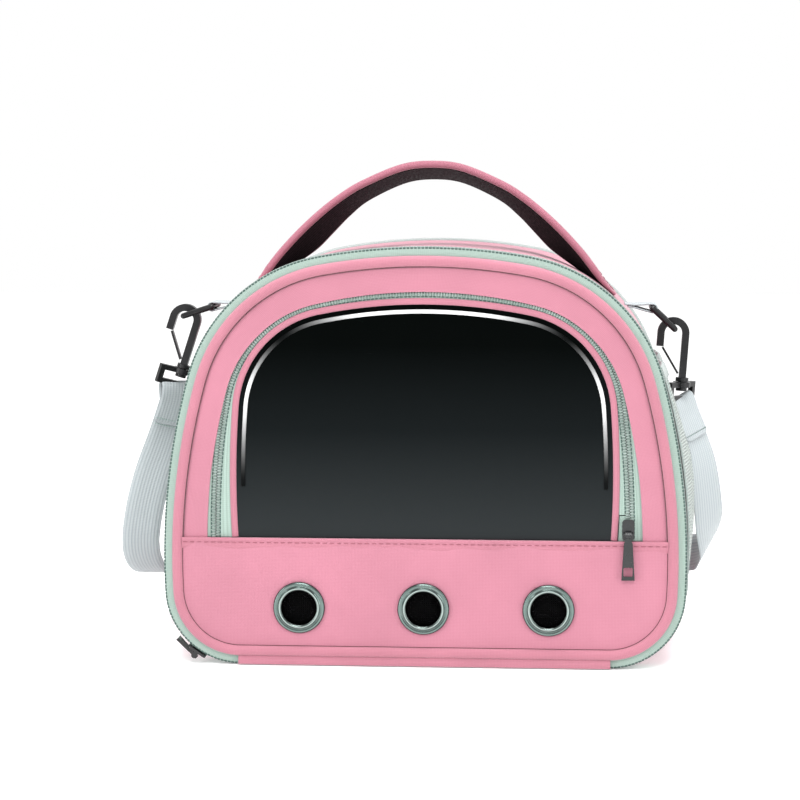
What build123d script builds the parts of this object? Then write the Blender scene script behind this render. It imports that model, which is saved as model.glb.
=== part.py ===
from build123d import *
import math
import os

# Soft pet carrier with a domed front, modelled in millimetres.
# X runs left to right, the front faces -Y, +Z is up, and the floor is Z = 0.
# The origin is the centre of the resting face, halfway through the body's depth.

# ---- overall sizes --------------------------------------------------------
body_width = 328.0
body_height = 263.0
body_depth = 180.0

# ---- body outline: four tangent arcs on each side -------------------------
widest_height = 67.0
top_radius = 372.0
shoulder_radius = 105.0
side_radius = 428.0
corner_radius = 48.0

# ---- fabric layers --------------------------------------------------------
gap = 0.4                 # clearance between pieces that part from each other
wall = 4.0                # padded gusset and back
base_thickness = 4.0
door_thickness = 4.0
lower_panel_thickness = 1.4
hem_fold = 0.8
hem_height = 10.0
border_width = 6.5        # rolled edge round the door
border_proud = 2.0
piping_size = 4.0
board_thickness = 2.5
pad_thickness = 12.0
pad_side_gap = 3.0

# ---- zips -----------------------------------------------------------------
coil_width = 2.3
coil_height = 2.0
tape_thickness = 0.8
door_tape_width = 4.8
gusset_tape_width = 12.0
strip_thickness = 1.2

# ---- window ---------------------------------------------------------------
hem_z = 80.5
opening_half = body_width / 2 - 28.0
opening_top = body_height - 25.6
opening_widest = 72.0
opening_top_radius = 294.0
opening_shoulder = 75.0
opening_side_radius = 462.0
chain_half = opening_half - 9.0
chain_top = opening_top - 2.6
chain_widest = 84.0
chain_top_radius = 300.0
chain_shoulder = 70.0
chain_side_radius = 640.0
flap_half = chain_half - 5.5
flap_top = chain_top - 3.6
flap_widest = 118.0
flap_top_radius = 332.0
flap_shoulder = 67.0
flap_side_radius = 600.0
pane_border = 4.0
pane_lap = 3.0
pane_thickness = 0.8
border_thickness = 1.6

# ---- vent eyelets ---------------------------------------------------------
eyelet_spacing = 78.0
eyelet_z = 37.0
eyelet_outer_r = 16.2
eyelet_hole_r = 10.6
eyelet_barrel_wall = 0.9
eyelet_flange = 2.6
mesh_thickness = 0.5
washer_thickness = 1.0

# ---- sliders and pulls ----------------------------------------------------
slider_length = 13.0
slider_width = 7.6
slider_plate = 1.5
slider_flange = 0.8
pull_length = 28.0
pull_top_width = 5.4
pull_end_width = 8.2
pull_thickness = 1.8
pull_slot = 5.6
bail_wire = 1.2
bail_inner = 4.2
bail_reach = 3.7
bail_z = -3.0             # bail's place below the slider's middle
slider_grip = -0.3        # the flanges stop this far in front of the chain
door_pull_length = 15.0
door_pull_lie = 12.0
door_slider_angle = 34.5  # degrees round the left lower corner, from straight down

# ---- handle ---------------------------------------------------------------
handle_width = 38.0
handle_cover = 3.0
handle_webbing = 1.8
handle_top = body_height + 50.0
handle_bow_radius = 84.0
handle_leg_slope = 47.0   # degrees below level
handle_split_drop = 24.0  # height below the top at which the moving grip starts
handle_end_x = 106.0
handle_lean = 13.0        # backward lean at rest, degrees
handle_pivot_z = body_height - 13.0
handle_patch_length = 30.0
handle_patch_x = handle_end_x - 14.0
handle_patch_thickness = 2.0

# ---- rings, hooks and strap -----------------------------------------------
webbing_width = 25.0
webbing_thickness = 1.5
tab_z = body_height - 42.0
tab_reach = 15.5
ring_wire_r = 1.9
ring_inner_width = 27.0
ring_length = 23.0
left_ring_droop = 18.0
right_ring_droop = 43.0
hook_wire = 4.6
hook_depth = 6.0
hook_bow_radius = 8.0
hook_shank_length = 31.0
hook_tip_length = 9.0
gate_thickness = 1.4
left_hook_tilt = 18.0
right_hook_tilt = 4.0
left_base_turn = 35.0      # how far each strap loop is turned about its swivel
right_base_turn = 60.0
swivel_pin_r = 2.4
swivel_clearance = 0.08
collar_height = 3.4
base_bar = 3.4
base_height = 9.0
strap_tube_r = 3.45       # a round of the same section as the flat webbing
adjuster_share = 0.36     # how far along the strap its adjuster sits
adjuster_length = 28.0
adjuster_thickness = 3.6
strap_route = [
    (-169, 0, 158), (-176, 0, 134), (-186, 2, 108), (-193, 5, 82), (-197, 12, 56),
    (-194, 38, 36), (-184, 78, 33), (-150, 114, 33), (-98, 131, 31), (-36, 138, 29),
    (30, 137, 30), (90, 131, 34), (142, 118, 40), (177, 90, 46), (185, 50, 56),
    (183, 17, 76), (180, 3, 102), (176, 0, 128), (171, 0, 150),
]

# ---- mesh side pockets ----------------------------------------------------
pocket_top = body_height - 75.0
pocket_bottom = 42.0
pocket_bulge = 11.0
pocket_top_gape = 2.5
pocket_notch_half = 22.0   # the hem is pressed flat behind the hook
pocket_notch_z = pocket_top - 38.0
pocket_wall = 1.2
pocket_front = -69.0
pocket_back = 76.0
hem_band = 9.0

os.makedirs("parts", exist_ok=True)
front_y = -body_depth / 2
back_y = body_depth / 2
door_back_y = front_y + door_thickness + 1.7
gusset_front_y = door_back_y + gap


def tangent_dome(half, top, widest, r_top, r_shoulder, r_side):
    """Centres of the top, right shoulder and right side arcs of a dome."""
    top_c = (0.0, top - r_top)
    side_c = (half - r_side, widest)
    d_top = r_top - r_shoulder
    d_side = r_side - r_shoulder
    dx = side_c[0] - top_c[0]
    dz = side_c[1] - top_c[1]
    span = math.hypot(dx, dz)
    along = (d_top ** 2 - d_side ** 2 + span ** 2) / (2 * span)
    across = math.sqrt(d_top ** 2 - along ** 2)
    ux = dx / span
    uz = dz / span
    shoulder_c = (top_c[0] + along * ux + across * uz, top_c[1] + along * uz - across * ux)
    return top_c, shoulder_c, side_c


def arc_points(centre, radius, start, end):
    """Start, middle and end of an arc, with angles measured from straight up."""
    points = []
    for a in (start, (start + end) / 2, end):
        points.append((centre[0] + radius * math.sin(a), centre[1] + radius * math.cos(a)))
    return points


def direction(a, b):
    """Angle of the line from a to b, measured from straight up."""
    return math.atan2(b[0] - a[0], b[1] - a[1])


def mirror_face(right_edges, low_z):
    """Close the right half's edges with their mirror image and a level base line."""
    edges = []
    for p in right_edges:
        edges.append(ThreePointArc(*p))
        edges.append(ThreePointArc(*[(-x, z) for x, z in p]))
    x_end = right_edges[-1][2][0]
    edges.append(Line((-x_end, low_z), (x_end, low_z)))
    return make_face(edges)


def dome_face(half, top, widest, r_top, r_shoulder, r_side, base_z, inset=0.0):
    """Arch-shaped window outline, cut level at base_z; a positive inset shrinks it."""
    top_c, shoulder_c, side_c = tangent_dome(half, top, widest, r_top, r_shoulder, r_side)
    a1 = direction(top_c, shoulder_c)
    a2 = direction(side_c, shoulder_c)
    side_r = r_side - inset
    a3 = math.acos((base_z - widest) / side_r)
    right = [
        arc_points(top_c, r_top - inset, 0.0, a1),
        arc_points(shoulder_c, r_shoulder - inset, a1, a2),
        arc_points(side_c, side_r, a2, a3),
    ]
    return mirror_face(right, base_z)


body_arcs = tangent_dome(
    body_width / 2, body_height, widest_height, top_radius, shoulder_radius, side_radius
)
corner_z = corner_radius
corner_x = body_arcs[2][0] + math.sqrt(
    (side_radius - corner_radius) ** 2 - (corner_z - widest_height) ** 2
)


def body_face(inset=0.0):
    """The whole bag's front outline; a positive inset shrinks it all round."""
    top_c, shoulder_c, side_c = body_arcs
    corner_c = (corner_x, corner_z)
    a1 = direction(top_c, shoulder_c)
    a2 = direction(side_c, shoulder_c)
    a3 = direction(side_c, corner_c)
    right = [
        arc_points(top_c, top_radius - inset, 0.0, a1),
        arc_points(shoulder_c, shoulder_radius - inset, a1, a2),
        arc_points(side_c, side_radius - inset, a2, a3),
        arc_points(corner_c, corner_radius - inset, a3, math.pi),
    ]
    return mirror_face(right, inset)


def side_x(z, inset=0.0):
    """Half-width of the outer surface at a height on the side arc."""
    cx, cz = body_arcs[2]
    return cx + math.sqrt((side_radius - inset) ** 2 - (z - cz) ** 2)


def slab(face, y0, y1):
    """Extrude a front-view outline from y0 back to y1."""
    plane = Plane(origin=(0, y1, 0), x_dir=(1, 0, 0), z_dir=(0, -1, 0))
    return extrude(plane * face, amount=y1 - y0)


def block(x0, x1, y0, y1, z0, z1):
    """An upright box between two corners."""
    size = (x1 - x0, y1 - y0, z1 - z0)
    return Pos((x0 + x1) / 2, (y0 + y1) / 2, (z0 + z1) / 2) * Box(*size)


def keep(name, shape):
    """Name a finished piece and write its file."""
    shape.label = name
    export_step(shape, f"parts/{name}.step")


# ---- fixed body -----------------------------------------------------------
def make_body():
    gusset_out = tape_thickness + 0.4
    gusset_in = gusset_out + wall
    back_panel_y = back_y - wall
    flat = corner_x + 0.5
    coil_back_y = gusset_front_y + coil_height
    ring = slab(body_face(gusset_out) - body_face(gusset_in), coil_back_y, back_panel_y)
    ring -= block(-corner_x, corner_x, front_y, back_y, -1, gusset_in + 1)
    keep("gusset", ring)
    base = block(-corner_x, corner_x, gusset_front_y, back_panel_y, 0, base_thickness)
    keep("base_panel", base)
    keep("back_panel", slab(body_face(piping_size), back_panel_y, back_y))
    rim = slab(body_face(0) - body_face(piping_size), back_panel_y, back_y)
    keep("back_piping", rim)
    flat_cut = block(-flat, flat, front_y, back_y, -1, gusset_in + 1)
    coil = slab(body_face(0) - body_face(coil_width), gusset_front_y, coil_back_y) - flat_cut
    keep("gusset_zip_coil", coil)
    tape_ring = body_face(gusset_out - tape_thickness) - body_face(gusset_out)
    tape = slab(tape_ring, coil_back_y, coil_back_y + gusset_tape_width) - flat_cut
    keep("gusset_zip_tape", tape)
    board_half = corner_x - pad_side_gap
    board_top = base_thickness + board_thickness
    board_y0 = gusset_front_y + pad_side_gap
    board_y1 = back_panel_y - pad_side_gap + 1
    board = block(-board_half, board_half, board_y0, board_y1, base_thickness, board_top)
    keep("base_board", fillet(board.edges().filter_by(Axis.Z), 12))
    pad_half = corner_x + pad_side_gap
    pad = block(
        -pad_half, pad_half, board_y0 + 1, board_y1 - 1,
        board_top + 0.3, board_top + 0.3 + pad_thickness,
    )
    pad = fillet(pad.edges().filter_by(Axis.Z), 18)
    keep("floor_pad", fillet(pad.edges().group_by(Axis.Z)[-1], 4))


# ---- front door -----------------------------------------------------------
def window_face(inset=0.0):
    return dome_face(opening_half, opening_top, opening_widest, opening_top_radius,
                     opening_shoulder, opening_side_radius, hem_z, inset)


def chain_face(inset=0.0):
    return dome_face(chain_half, chain_top, chain_widest, chain_top_radius,
                     chain_shoulder, chain_side_radius, hem_z, inset)


def flap_face(inset=0.0):
    return dome_face(flap_half, flap_top, flap_widest, flap_top_radius,
                     flap_shoulder, flap_side_radius, hem_z, inset)


border_out = 1.0 + door_tape_width
seam_inset = border_out + border_width
panel_y0 = door_back_y - door_thickness
lower_y0 = panel_y0 - lower_panel_thickness
hem_y0 = lower_y0 - hem_fold
strip_y0 = front_y - 0.1
door_axis_y = front_y - 1.2
door_axis_z = 0.4
tape_y1 = panel_y0 + 2.0
chain_y0 = tape_y1 - tape_thickness - coil_height / 2
eyelet_xs = {"left": -eyelet_spacing, "centre": 0.0, "right": eyelet_spacing}


def eyelet_holes(radius, y0, y1):
    holes = Sketch() + [Pos(x, eyelet_z) * Circle(radius) for x in eyelet_xs.values()]
    return slab(holes, y0, y1)


def make_door():
    barrel_r = eyelet_hole_r + eyelet_barrel_wall
    panel = slab(body_face(seam_inset) - window_face(0), panel_y0, door_back_y)
    keep("door_panel", panel - eyelet_holes(barrel_r, front_y - 5, back_y))
    low_cut = block(-body_width, body_width, -body_depth, body_depth, hem_z, 2 * body_height)
    lower = slab(body_face(seam_inset), lower_y0, panel_y0) - low_cut
    keep("lower_panel", lower - eyelet_holes(barrel_r, front_y - 5, back_y))
    fold = slab(body_face(seam_inset), hem_y0, lower_y0) - low_cut
    fold_cut = block(-body_width, body_width, -body_depth, body_depth, -1, hem_z - hem_height)
    keep("lower_panel_hem", fold - fold_cut)
    border_y0 = front_y - border_proud / 2
    border = slab(body_face(border_out) - body_face(seam_inset), border_y0, door_back_y)
    low_edge = block(-corner_x, corner_x, -body_depth, body_depth, -1, border_out + 0.01)
    keep("door_border", border - low_edge)
    flat = corner_x + 0.5
    zip_cut = block(-flat, flat, -body_depth, body_depth, -1, border_out + 4)
    coil_y0 = door_back_y - coil_height
    keep("door_zip_coil", slab(body_face(0) - body_face(coil_width), coil_y0, door_back_y) - zip_cut)
    tape_ring = body_face(1.0) - body_face(border_out)
    keep("door_zip_tape", slab(tape_ring, coil_y0 - tape_thickness, coil_y0) - zip_cut)
    keep("hinge_strip", block(-corner_x, corner_x, strip_y0, strip_y0 + strip_thickness,
                              door_axis_z, border_out))
    room = window_face(0)
    outer_coil = (chain_face(-coil_width - gap / 2) - chain_face(-gap / 2)) & room
    keep("window_outer_coil", slab(outer_coil, chain_y0, tape_y1))
    outer_tape = room - chain_face(-coil_width - gap / 2)
    keep("window_outer_tape", slab(outer_tape, tape_y1 - tape_thickness, tape_y1))


def make_eyelets():
    barrel_r = eyelet_hole_r + eyelet_barrel_wall
    washer_y1 = door_back_y + washer_thickness
    for side, x in eyelet_xs.items():
        at = Plane(origin=(x, lower_y0, eyelet_z), x_dir=(1, 0, 0), z_dir=(0, -1, 0))
        profile = Pos(0, 0, eyelet_flange / 2) * Cylinder(eyelet_outer_r, eyelet_flange)
        profile = fillet(profile.edges().group_by(Axis.Z)[-1], 1.2)
        depth = washer_y1 - lower_y0
        profile += Pos(0, 0, -depth / 2) * Cylinder(barrel_r, depth)
        profile -= Cylinder(eyelet_hole_r, 4 * depth)
        keep(f"{side}_eyelet", at * profile)
    washers = eyelet_holes(eyelet_outer_r - 2, door_back_y, washer_y1)
    keep("eyelet_washers", washers - eyelet_holes(barrel_r, front_y, back_y))
    mesh_half = eyelet_spacing + eyelet_outer_r + 10
    mesh_z0 = eyelet_z - eyelet_outer_r - 5
    mesh_z1 = eyelet_z + eyelet_outer_r + 5
    mesh = block(-mesh_half, mesh_half, washer_y1, washer_y1 + mesh_thickness, mesh_z0, mesh_z1)
    keep("vent_mesh", mesh)


# ---- window flap ----------------------------------------------------------
def make_window():
    slider_top = hem_z + slider_length + 3.5
    slider_room = block(0, body_width, -body_depth, body_depth, 0, slider_top)
    lift = block(-body_width, body_width, -body_depth, body_depth, 0, hem_z + gap)
    inner_coil = chain_face(gap / 2) - chain_face(coil_width + gap / 2) - flap_face(0)
    keep("window_inner_coil", slab(inner_coil, chain_y0, tape_y1) - slider_room - lift)
    inner_tape = chain_face(coil_width + gap / 2) - flap_face(0)
    inner_tape = slab(inner_tape, tape_y1 - tape_thickness, tape_y1)
    keep("window_inner_tape", inner_tape - slider_room - lift)
    pane_y = panel_y0 + 1.0
    pane = slab(flap_face(pane_border - pane_lap), pane_y, pane_y + pane_thickness) - lift
    keep("window_pane", pane)
    ring_y0 = pane_y - border_thickness / 2
    ring_y1 = pane_y + pane_thickness + border_thickness / 2
    ring = slab(flap_face(0) - flap_face(pane_border), ring_y0, ring_y1)
    keep("window_border", ring - pane - lift)


# ---- zip sliders and pulls ------------------------------------------------
def pull_tab(length, bore_r):
    """A flat tapered tab hanging down from a bore along X at its top."""
    top = pull_top_width / 2
    end = pull_end_width / 2
    neck = bail_inner / 2 - 0.2
    outline = Polyline(
        (-neck, 2.2), (neck, 2.2), (neck, -3.2), (top, -5), (end, -length),
        (-end, -length), (-top, -5), (-neck, -3.2), (-neck, 2.2),
    )
    tab = make_face(outline)
    tab -= Pos(0, -length + pull_slot / 2 + 2.4) * RectangleRounded(pull_slot, pull_slot, 0.8)
    solid = slab(tab, -pull_thickness / 2, pull_thickness / 2)
    solid += Rot(0, 90, 0) * Cylinder(bore_r + 1.0, 2 * neck)
    return solid - Rot(0, 90, 0) * Cylinder(bore_r, 20)


def slider_shell(length):
    """A zip slider's face plate with side flanges and a bail, facing -Y, at the chain's front."""
    plate_y = -gap - slider_plate
    half = slider_width / 2
    shell = slab(RectangleRounded(slider_width, length, 2.2), plate_y, -gap)
    for side in (-1, 1):
        x0 = side * half - slider_flange / 2 - side * slider_flange / 2
        shell += block(x0, x0 + slider_flange, plate_y, slider_grip, -length / 2 + 2, length / 2 - 2)
        x1 = side * (bail_inner / 2 + 0.5)
        ear = block(x1 - 0.5, x1 + 0.5, plate_y - bail_reach, plate_y, bail_z - 1.4, bail_z + 1.4)
        shell += ear
    pin = Pos(0, plate_y - bail_reach + 1.3, bail_z) * Rot(0, 90, 0)
    return shell + pin * Cylinder(bail_wire * 0.75, bail_inner + 2)


def make_sliders():
    z = hem_z + slider_length / 2 + 1.0
    radius = chain_side_radius
    x = chain_half - radius + math.sqrt(radius ** 2 - (z - chain_widest) ** 2)
    at = Pos(x, chain_y0, z)
    keep("window_slider", at * slider_shell(slider_length))
    pin_y = -gap - slider_plate - bail_reach + 1.3
    bore = bail_wire * 0.75 + swivel_clearance
    keep("window_pull", at * Pos(0, pin_y, bail_z) * pull_tab(pull_length, bore))
    print("window slider chain centre", chain_half - radius, chain_widest)
    print("window pull pin", x, chain_y0 + pin_y, z + bail_z)
    mid_y = door_back_y + gap / 2
    corner = Pos(-corner_x, mid_y, corner_z) * Rot(0, door_slider_angle, 0)
    reach = corner_radius + gap
    plate = Pos(0, 0, -reach - slider_plate / 2) * Box(slider_length, slider_width, slider_plate)
    plate = fillet(plate.edges().filter_by(Axis.Z), 2.2)
    pin_r = bail_wire * 0.75
    pin_z = -reach - slider_plate - bail_reach + 1.3
    for side in (-1, 1):
        plate += Pos(0, side * (bail_inner / 2 + 0.5), pin_z + 0.55) * Box(2.6, 1.0, bail_reach)
    plate += Pos(0, 0, pin_z) * Rot(90, 0, 0) * Cylinder(pin_r, bail_inner + 2)
    keep("door_slider", corner * plate)
    tab = pull_tab(door_pull_length, pin_r + swivel_clearance)
    lie = Rot(0, 90 + door_pull_lie, 0) * Rot(0, 0, 90)
    keep("door_pull", corner * Pos(0, 0, pin_z) * lie * tab)
    pin = corner * Pos(0, 0, pin_z)
    print("door pull pin", pin.position)


# ---- carrying handle ------------------------------------------------------
def make_handle():
    thick = handle_cover + handle_webbing
    centre_z = handle_top - thick / 2 - handle_bow_radius
    split = math.acos(1 - handle_split_drop / handle_bow_radius)
    slope = math.radians(handle_leg_slope)
    lean = Pos(0, 0, handle_pivot_z) * Rot(-handle_lean, 0, 0) * Pos(0, 0, -handle_pivot_z)
    clear = slab(body_face(-handle_patch_thickness), -body_depth, body_depth)
    below = block(-body_width, body_width, -body_depth, body_depth, 0, corner_z + shoulder_radius)
    r_in = handle_bow_radius - thick / 2
    r_mid = r_in + handle_webbing
    r_out = r_mid + handle_cover

    def arc_band(r0, r1, a0, a1):
        outer = arc_points((0, centre_z), r1, a0, a1)
        inner = arc_points((0, centre_z), r0, a0, a1)
        edges = [
            ThreePointArc(*outer), ThreePointArc(*inner),
            Line(outer[0], inner[0]), Line(outer[2], inner[2]),
        ]
        return make_face(edges)

    for name, r0, r1 in (("handle_webbing", r_in, r_mid), ("handle_cover", r_mid, r_out)):
        band = slab(arc_band(r0, r1, -split, split), -handle_width / 2, handle_width / 2)
        keep(name, lean * band)
    leg_length = (handle_end_x - handle_bow_radius * math.sin(slope)) / math.cos(slope)
    for side, sign in (("left", -1), ("right", 1)):
        band = arc_band(r_in, r_out, sign * split, sign * slope)
        a = sign * slope
        foot = []
        for r, run in ((r_in, 0), (r_in, leg_length), (r_out, leg_length), (r_out, 0)):
            foot.append((
                r * math.sin(a) + sign * run * math.cos(slope),
                centre_z + r * math.cos(a) - run * math.sin(slope),
            ))
        leg = slab(band + make_face(Polyline(*foot, foot[0])), -handle_width / 2, handle_width / 2)
        keep(f"{side}_handle_leg", (lean * leg) - clear - below)
        x0 = sign * handle_patch_x
        x1 = sign * (handle_patch_x + handle_patch_length)
        patch = slab(body_face(-handle_patch_thickness) - body_face(tape_thickness + 0.4),
                     -handle_width / 2, handle_width / 2)
        patch &= block(min(x0, x1), max(x0, x1), -body_depth, body_depth, corner_z, body_height)
        keep(f"{side}_handle_patch", patch)


# ---- rings, hooks and strap -----------------------------------------------
def rod(start, end, radius):
    """A round bar between two points in space."""
    a = Vector(*start)
    run = Vector(*end) - a
    return Plane(origin=a + run / 2, z_dir=run.normalized()) * Cylinder(radius, run.length)


def make_ring(side, sign, droop):
    pivot_x = shoulder_x(tab_z) + tab_reach
    a = math.radians(droop)
    bar_gap = ring_length - 2 * ring_wire_r
    half = ring_inner_width / 2 + ring_wire_r
    near = (sign * pivot_x, tab_z)
    far = (sign * (pivot_x + bar_gap * math.cos(a)), tab_z - bar_gap * math.sin(a))
    corners = [(near[0], -half, near[1]), (near[0], half, near[1]),
               (far[0], half, far[1]), (far[0], -half, far[1])]
    ring = Part()
    for i, corner in enumerate(corners):
        ring += rod(corner, corners[(i + 1) % 4], ring_wire_r)
        ring += Pos(*corner) * Sphere(ring_wire_r)
    keep(f"{side}_ring", ring)
    loop_r = ring_wire_r + swivel_clearance
    at = Pos(near[0], 0, near[1]) * Rot(90, 0, 0)
    tab = at * Cylinder(loop_r + webbing_thickness, webbing_width)
    strip_half = loop_r + webbing_thickness
    x_in = sign * (pivot_x - tab_reach - wall)
    plate = block(min(x_in, near[0]), max(x_in, near[0]), -webbing_width / 2, webbing_width / 2,
                  tab_z - strip_half, tab_z + strip_half)
    tab = tab + plate - slab(body_face(tape_thickness + 0.4), -body_depth, body_depth)
    tab -= at * Cylinder(loop_r, webbing_width + 2)
    keep(f"{side}_ring_tab", tab)
    print(side, "ring pivot", near, "outer bar", far)
    return far


def make_hook(side, bar, tilt, turn):
    """A swivel snap hook hanging from a ring's outer bar, its mouth towards -X."""
    bow = hook_bow_radius
    half = hook_wire / 2
    eye_play = bow - half - ring_wire_r - gap
    at = Pos(bar[0], 0, bar[1]) * Rot(0, tilt, 0) * Pos(bow, 0, -hook_shank_length - eye_play)
    outline = block(-half, half, -hook_depth / 2, hook_depth / 2, 0, hook_shank_length)
    arch = Circle(bow + half) - Circle(bow - half)
    arch = Pos(-bow, hook_shank_length) * (arch & Pos(0, 20) * Rectangle(60, 40))
    outline += slab(arch, -hook_depth / 2, hook_depth / 2)
    tip_x = -2 * bow
    outline += block(tip_x - half, tip_x + half, -hook_depth / 2, hook_depth / 2,
                     hook_shank_length - hook_tip_length, hook_shank_length)
    pin_end = -gap - collar_height - gap
    outline += Pos(0, 0, pin_end / 2) * Cylinder(swivel_pin_r, -pin_end)
    outline += Pos(0, 0, pin_end - 1.0) * Cylinder(swivel_pin_r + 1.2, 2.0)
    outline += Pos(0, 0, 1.2) * Cylinder(swivel_pin_r + 1.8, 2.4)
    keep(f"{side}_hook", at * outline)
    gate_foot = (-half - 0.9, 5.0)
    gate_head = (tip_x + half - 0.6, hook_shank_length - hook_tip_length - 0.7)
    run = math.hypot(gate_head[0] - gate_foot[0], gate_head[1] - gate_foot[1])
    lean = math.degrees(math.atan2(gate_head[0] - gate_foot[0], gate_head[1] - gate_foot[1]))
    bar_solid = Pos(0, 0, run / 2) * Box(gate_thickness, hook_depth - 1, run)
    gate = Pos(gate_foot[0], 0, gate_foot[1]) * Rot(0, lean, 0) * bar_solid
    keep(f"{side}_hook_gate", at * gate)
    top = -gap
    collar = Pos(0, 0, top - collar_height / 2) * Cylinder(swivel_pin_r + 3.2, collar_height)
    frame_z = top - collar_height + base_bar / 2
    width = webbing_width + 2 * base_bar + 1.0
    frame = block(-width / 2, width / 2, -base_bar / 2, base_bar / 2,
                  top - collar_height - base_height, top)
    window_top = top - collar_height
    frame -= block(-webbing_width / 2 - 0.5, webbing_width / 2 + 0.5, -5, 5,
                   window_top - base_height + base_bar, window_top)
    base = collar + frame - Pos(0, 0, frame_z) * Cylinder(swivel_pin_r + swivel_clearance, 30)
    base -= Pos(0, 0, window_top - 2.5) * Cylinder(swivel_pin_r + 1.6, 5.0)
    base += block(-width / 2, width / 2, -base_bar / 2, base_bar / 2,
                  window_top - base_height, window_top - base_height + base_bar)
    keep(f"{side}_hook_base", at * Rot(0, 0, turn) * base)
    gate_pivot = at * Pos(gate_foot[0], 0, gate_foot[1])
    print(side, "hook swivel", at.position, "gate pivot", gate_pivot.position)
    return at * Pos(0, 0, window_top - base_height - strap_tube_r)


def make_strap():
    """The strap's middle line: down from the left hook, round behind the bag, up to the right."""
    corners = [Vector(*p) for p in strap_route]
    radii = []
    for before, here, after in zip(corners, corners[1:], corners[2:]):
        turn = math.radians((here - before).get_angle(after - here))
        shorter = min((here - before).length, (after - here).length)
        radii.append(0.45 * shorter / math.tan(turn / 2))
    print("strap bend radii", [round(r) for r in radii])
    path = FilletPolyline(*corners, radius=radii)
    section = Plane(origin=path @ 0, z_dir=path % 0) * Circle(strap_tube_r)
    strap = sweep(section, path=path)
    area = math.pi * strap_tube_r ** 2
    print("strap length", path.length, "volume ratio", strap.volume / (area * path.length))
    keep("shoulder_strap", strap)
    where = path.length * adjuster_share
    along = path % adjuster_share
    aside = along.cross(Vector(0, 0, -1)).normalized()
    offset = strap_tube_r + gap + adjuster_thickness / 2
    plane = Plane(origin=path @ adjuster_share - aside * offset, z_dir=along, x_dir=(0, 0, 1))
    slide = Box(webbing_width + 7, adjuster_thickness, adjuster_length)
    for side in (-1, 1):
        slide -= Pos(0, 0, side * adjuster_length / 4) * Box(webbing_width + 1, 10, 9)
    keep("strap_adjuster", plane * slide)
    print("adjuster at", where, plane.origin)


def shoulder_x(z):
    """Half-width of the outer surface at a height on the shoulder arc."""
    cx, cz = body_arcs[1]
    return cx + math.sqrt(shoulder_radius ** 2 - (z - cz) ** 2)


# ---- mesh pockets ---------------------------------------------------------
def pocket_volume(sign, shrink):
    """The space a side pocket fills, reduced by shrink on its outer side."""
    bulge = pocket_bulge - shrink
    mid_z = (2 * pocket_bottom + pocket_top) / 3
    low = (sign * (side_x(pocket_bottom) + 2 - shrink), pocket_bottom + shrink)
    middle = (sign * (side_x(mid_z) + bulge), mid_z)
    top = (sign * (side_x(pocket_top) + pocket_top_gape - shrink), pocket_top)
    inner = (sign * (side_x(pocket_top) - 20), pocket_top)
    inner_low = (sign * (side_x(pocket_top) - 20), pocket_bottom + shrink)
    profile = make_face([ThreePointArc(low, middle, top), Polyline(top, inner, inner_low, low)])
    solid = slab(profile, pocket_front + shrink, pocket_back - shrink)
    half = (pocket_back - pocket_front) / 2 - shrink
    mid_y = (pocket_back + pocket_front) / 2
    reach = side_x(widest_height) + bulge
    foot = side_x(widest_height) - 20
    arc = ThreePointArc((sign * foot, mid_y - half), (sign * reach, mid_y), (sign * foot, mid_y + half))
    lens = make_face([arc, Line((sign * foot, mid_y - half), (sign * foot, mid_y + half))])
    deep = block(min(0, sign * foot), max(0, sign * foot), mid_y - half, mid_y + half, 0, body_height)
    plan = extrude(lens, amount=body_height) + deep
    return solid & plan


def make_pockets():
    inside = slab(body_face(tape_thickness + 0.4), -body_depth, body_depth)
    for side, sign in (("left", -1), ("right", 1)):
        hollow = pocket_volume(sign, pocket_wall)
        shell = pocket_volume(sign, 0) - hollow - inside
        split = pocket_top - hem_band
        low = block(-body_width, body_width, -body_depth, body_depth, 0, split)
        notch = block(-body_width, body_width, -pocket_notch_half, pocket_notch_half,
                      pocket_notch_z, body_height)
        keep(f"{side}_pocket", (shell & low) - notch)
        keep(f"{side}_pocket_hem", shell - low - notch)


make_body()
make_door()
make_eyelets()
make_window()
make_sliders()
make_handle()
make_pockets()
for side, sign, droop, tilt, turn in (
    ("left", -1, left_ring_droop, left_hook_tilt, left_base_turn),
    ("right", 1, right_ring_droop, right_hook_tilt, right_base_turn),
):
    outer_bar = make_ring(side, sign, droop)
    strap_end = make_hook(side, outer_bar, tilt, turn)
    print(side, "strap end", strap_end.position)
make_strap()
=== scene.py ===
import math

import bpy
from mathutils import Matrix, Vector, noise
from mathutils.geometry import delaunay_2d_cdt


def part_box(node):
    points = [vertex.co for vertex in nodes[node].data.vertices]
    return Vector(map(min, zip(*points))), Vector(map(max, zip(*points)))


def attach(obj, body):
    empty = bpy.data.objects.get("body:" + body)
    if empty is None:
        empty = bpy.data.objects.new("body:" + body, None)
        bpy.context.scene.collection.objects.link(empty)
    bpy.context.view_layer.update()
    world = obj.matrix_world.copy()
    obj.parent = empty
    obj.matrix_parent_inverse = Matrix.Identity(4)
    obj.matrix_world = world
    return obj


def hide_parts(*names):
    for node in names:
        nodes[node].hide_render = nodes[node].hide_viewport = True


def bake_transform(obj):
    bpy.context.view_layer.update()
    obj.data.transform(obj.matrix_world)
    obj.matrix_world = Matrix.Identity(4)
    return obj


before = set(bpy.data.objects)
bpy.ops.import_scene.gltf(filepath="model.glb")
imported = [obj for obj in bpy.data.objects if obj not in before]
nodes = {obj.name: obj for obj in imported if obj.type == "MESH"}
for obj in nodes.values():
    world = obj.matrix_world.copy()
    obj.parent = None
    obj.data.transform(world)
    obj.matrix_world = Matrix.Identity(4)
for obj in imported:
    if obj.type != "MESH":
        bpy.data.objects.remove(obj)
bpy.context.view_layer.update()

# Soft pet carrier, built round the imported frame. Shapes are worked out in
# millimetres in the frame's axes and written to the meshes in metres.

MM = 0.001


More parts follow.
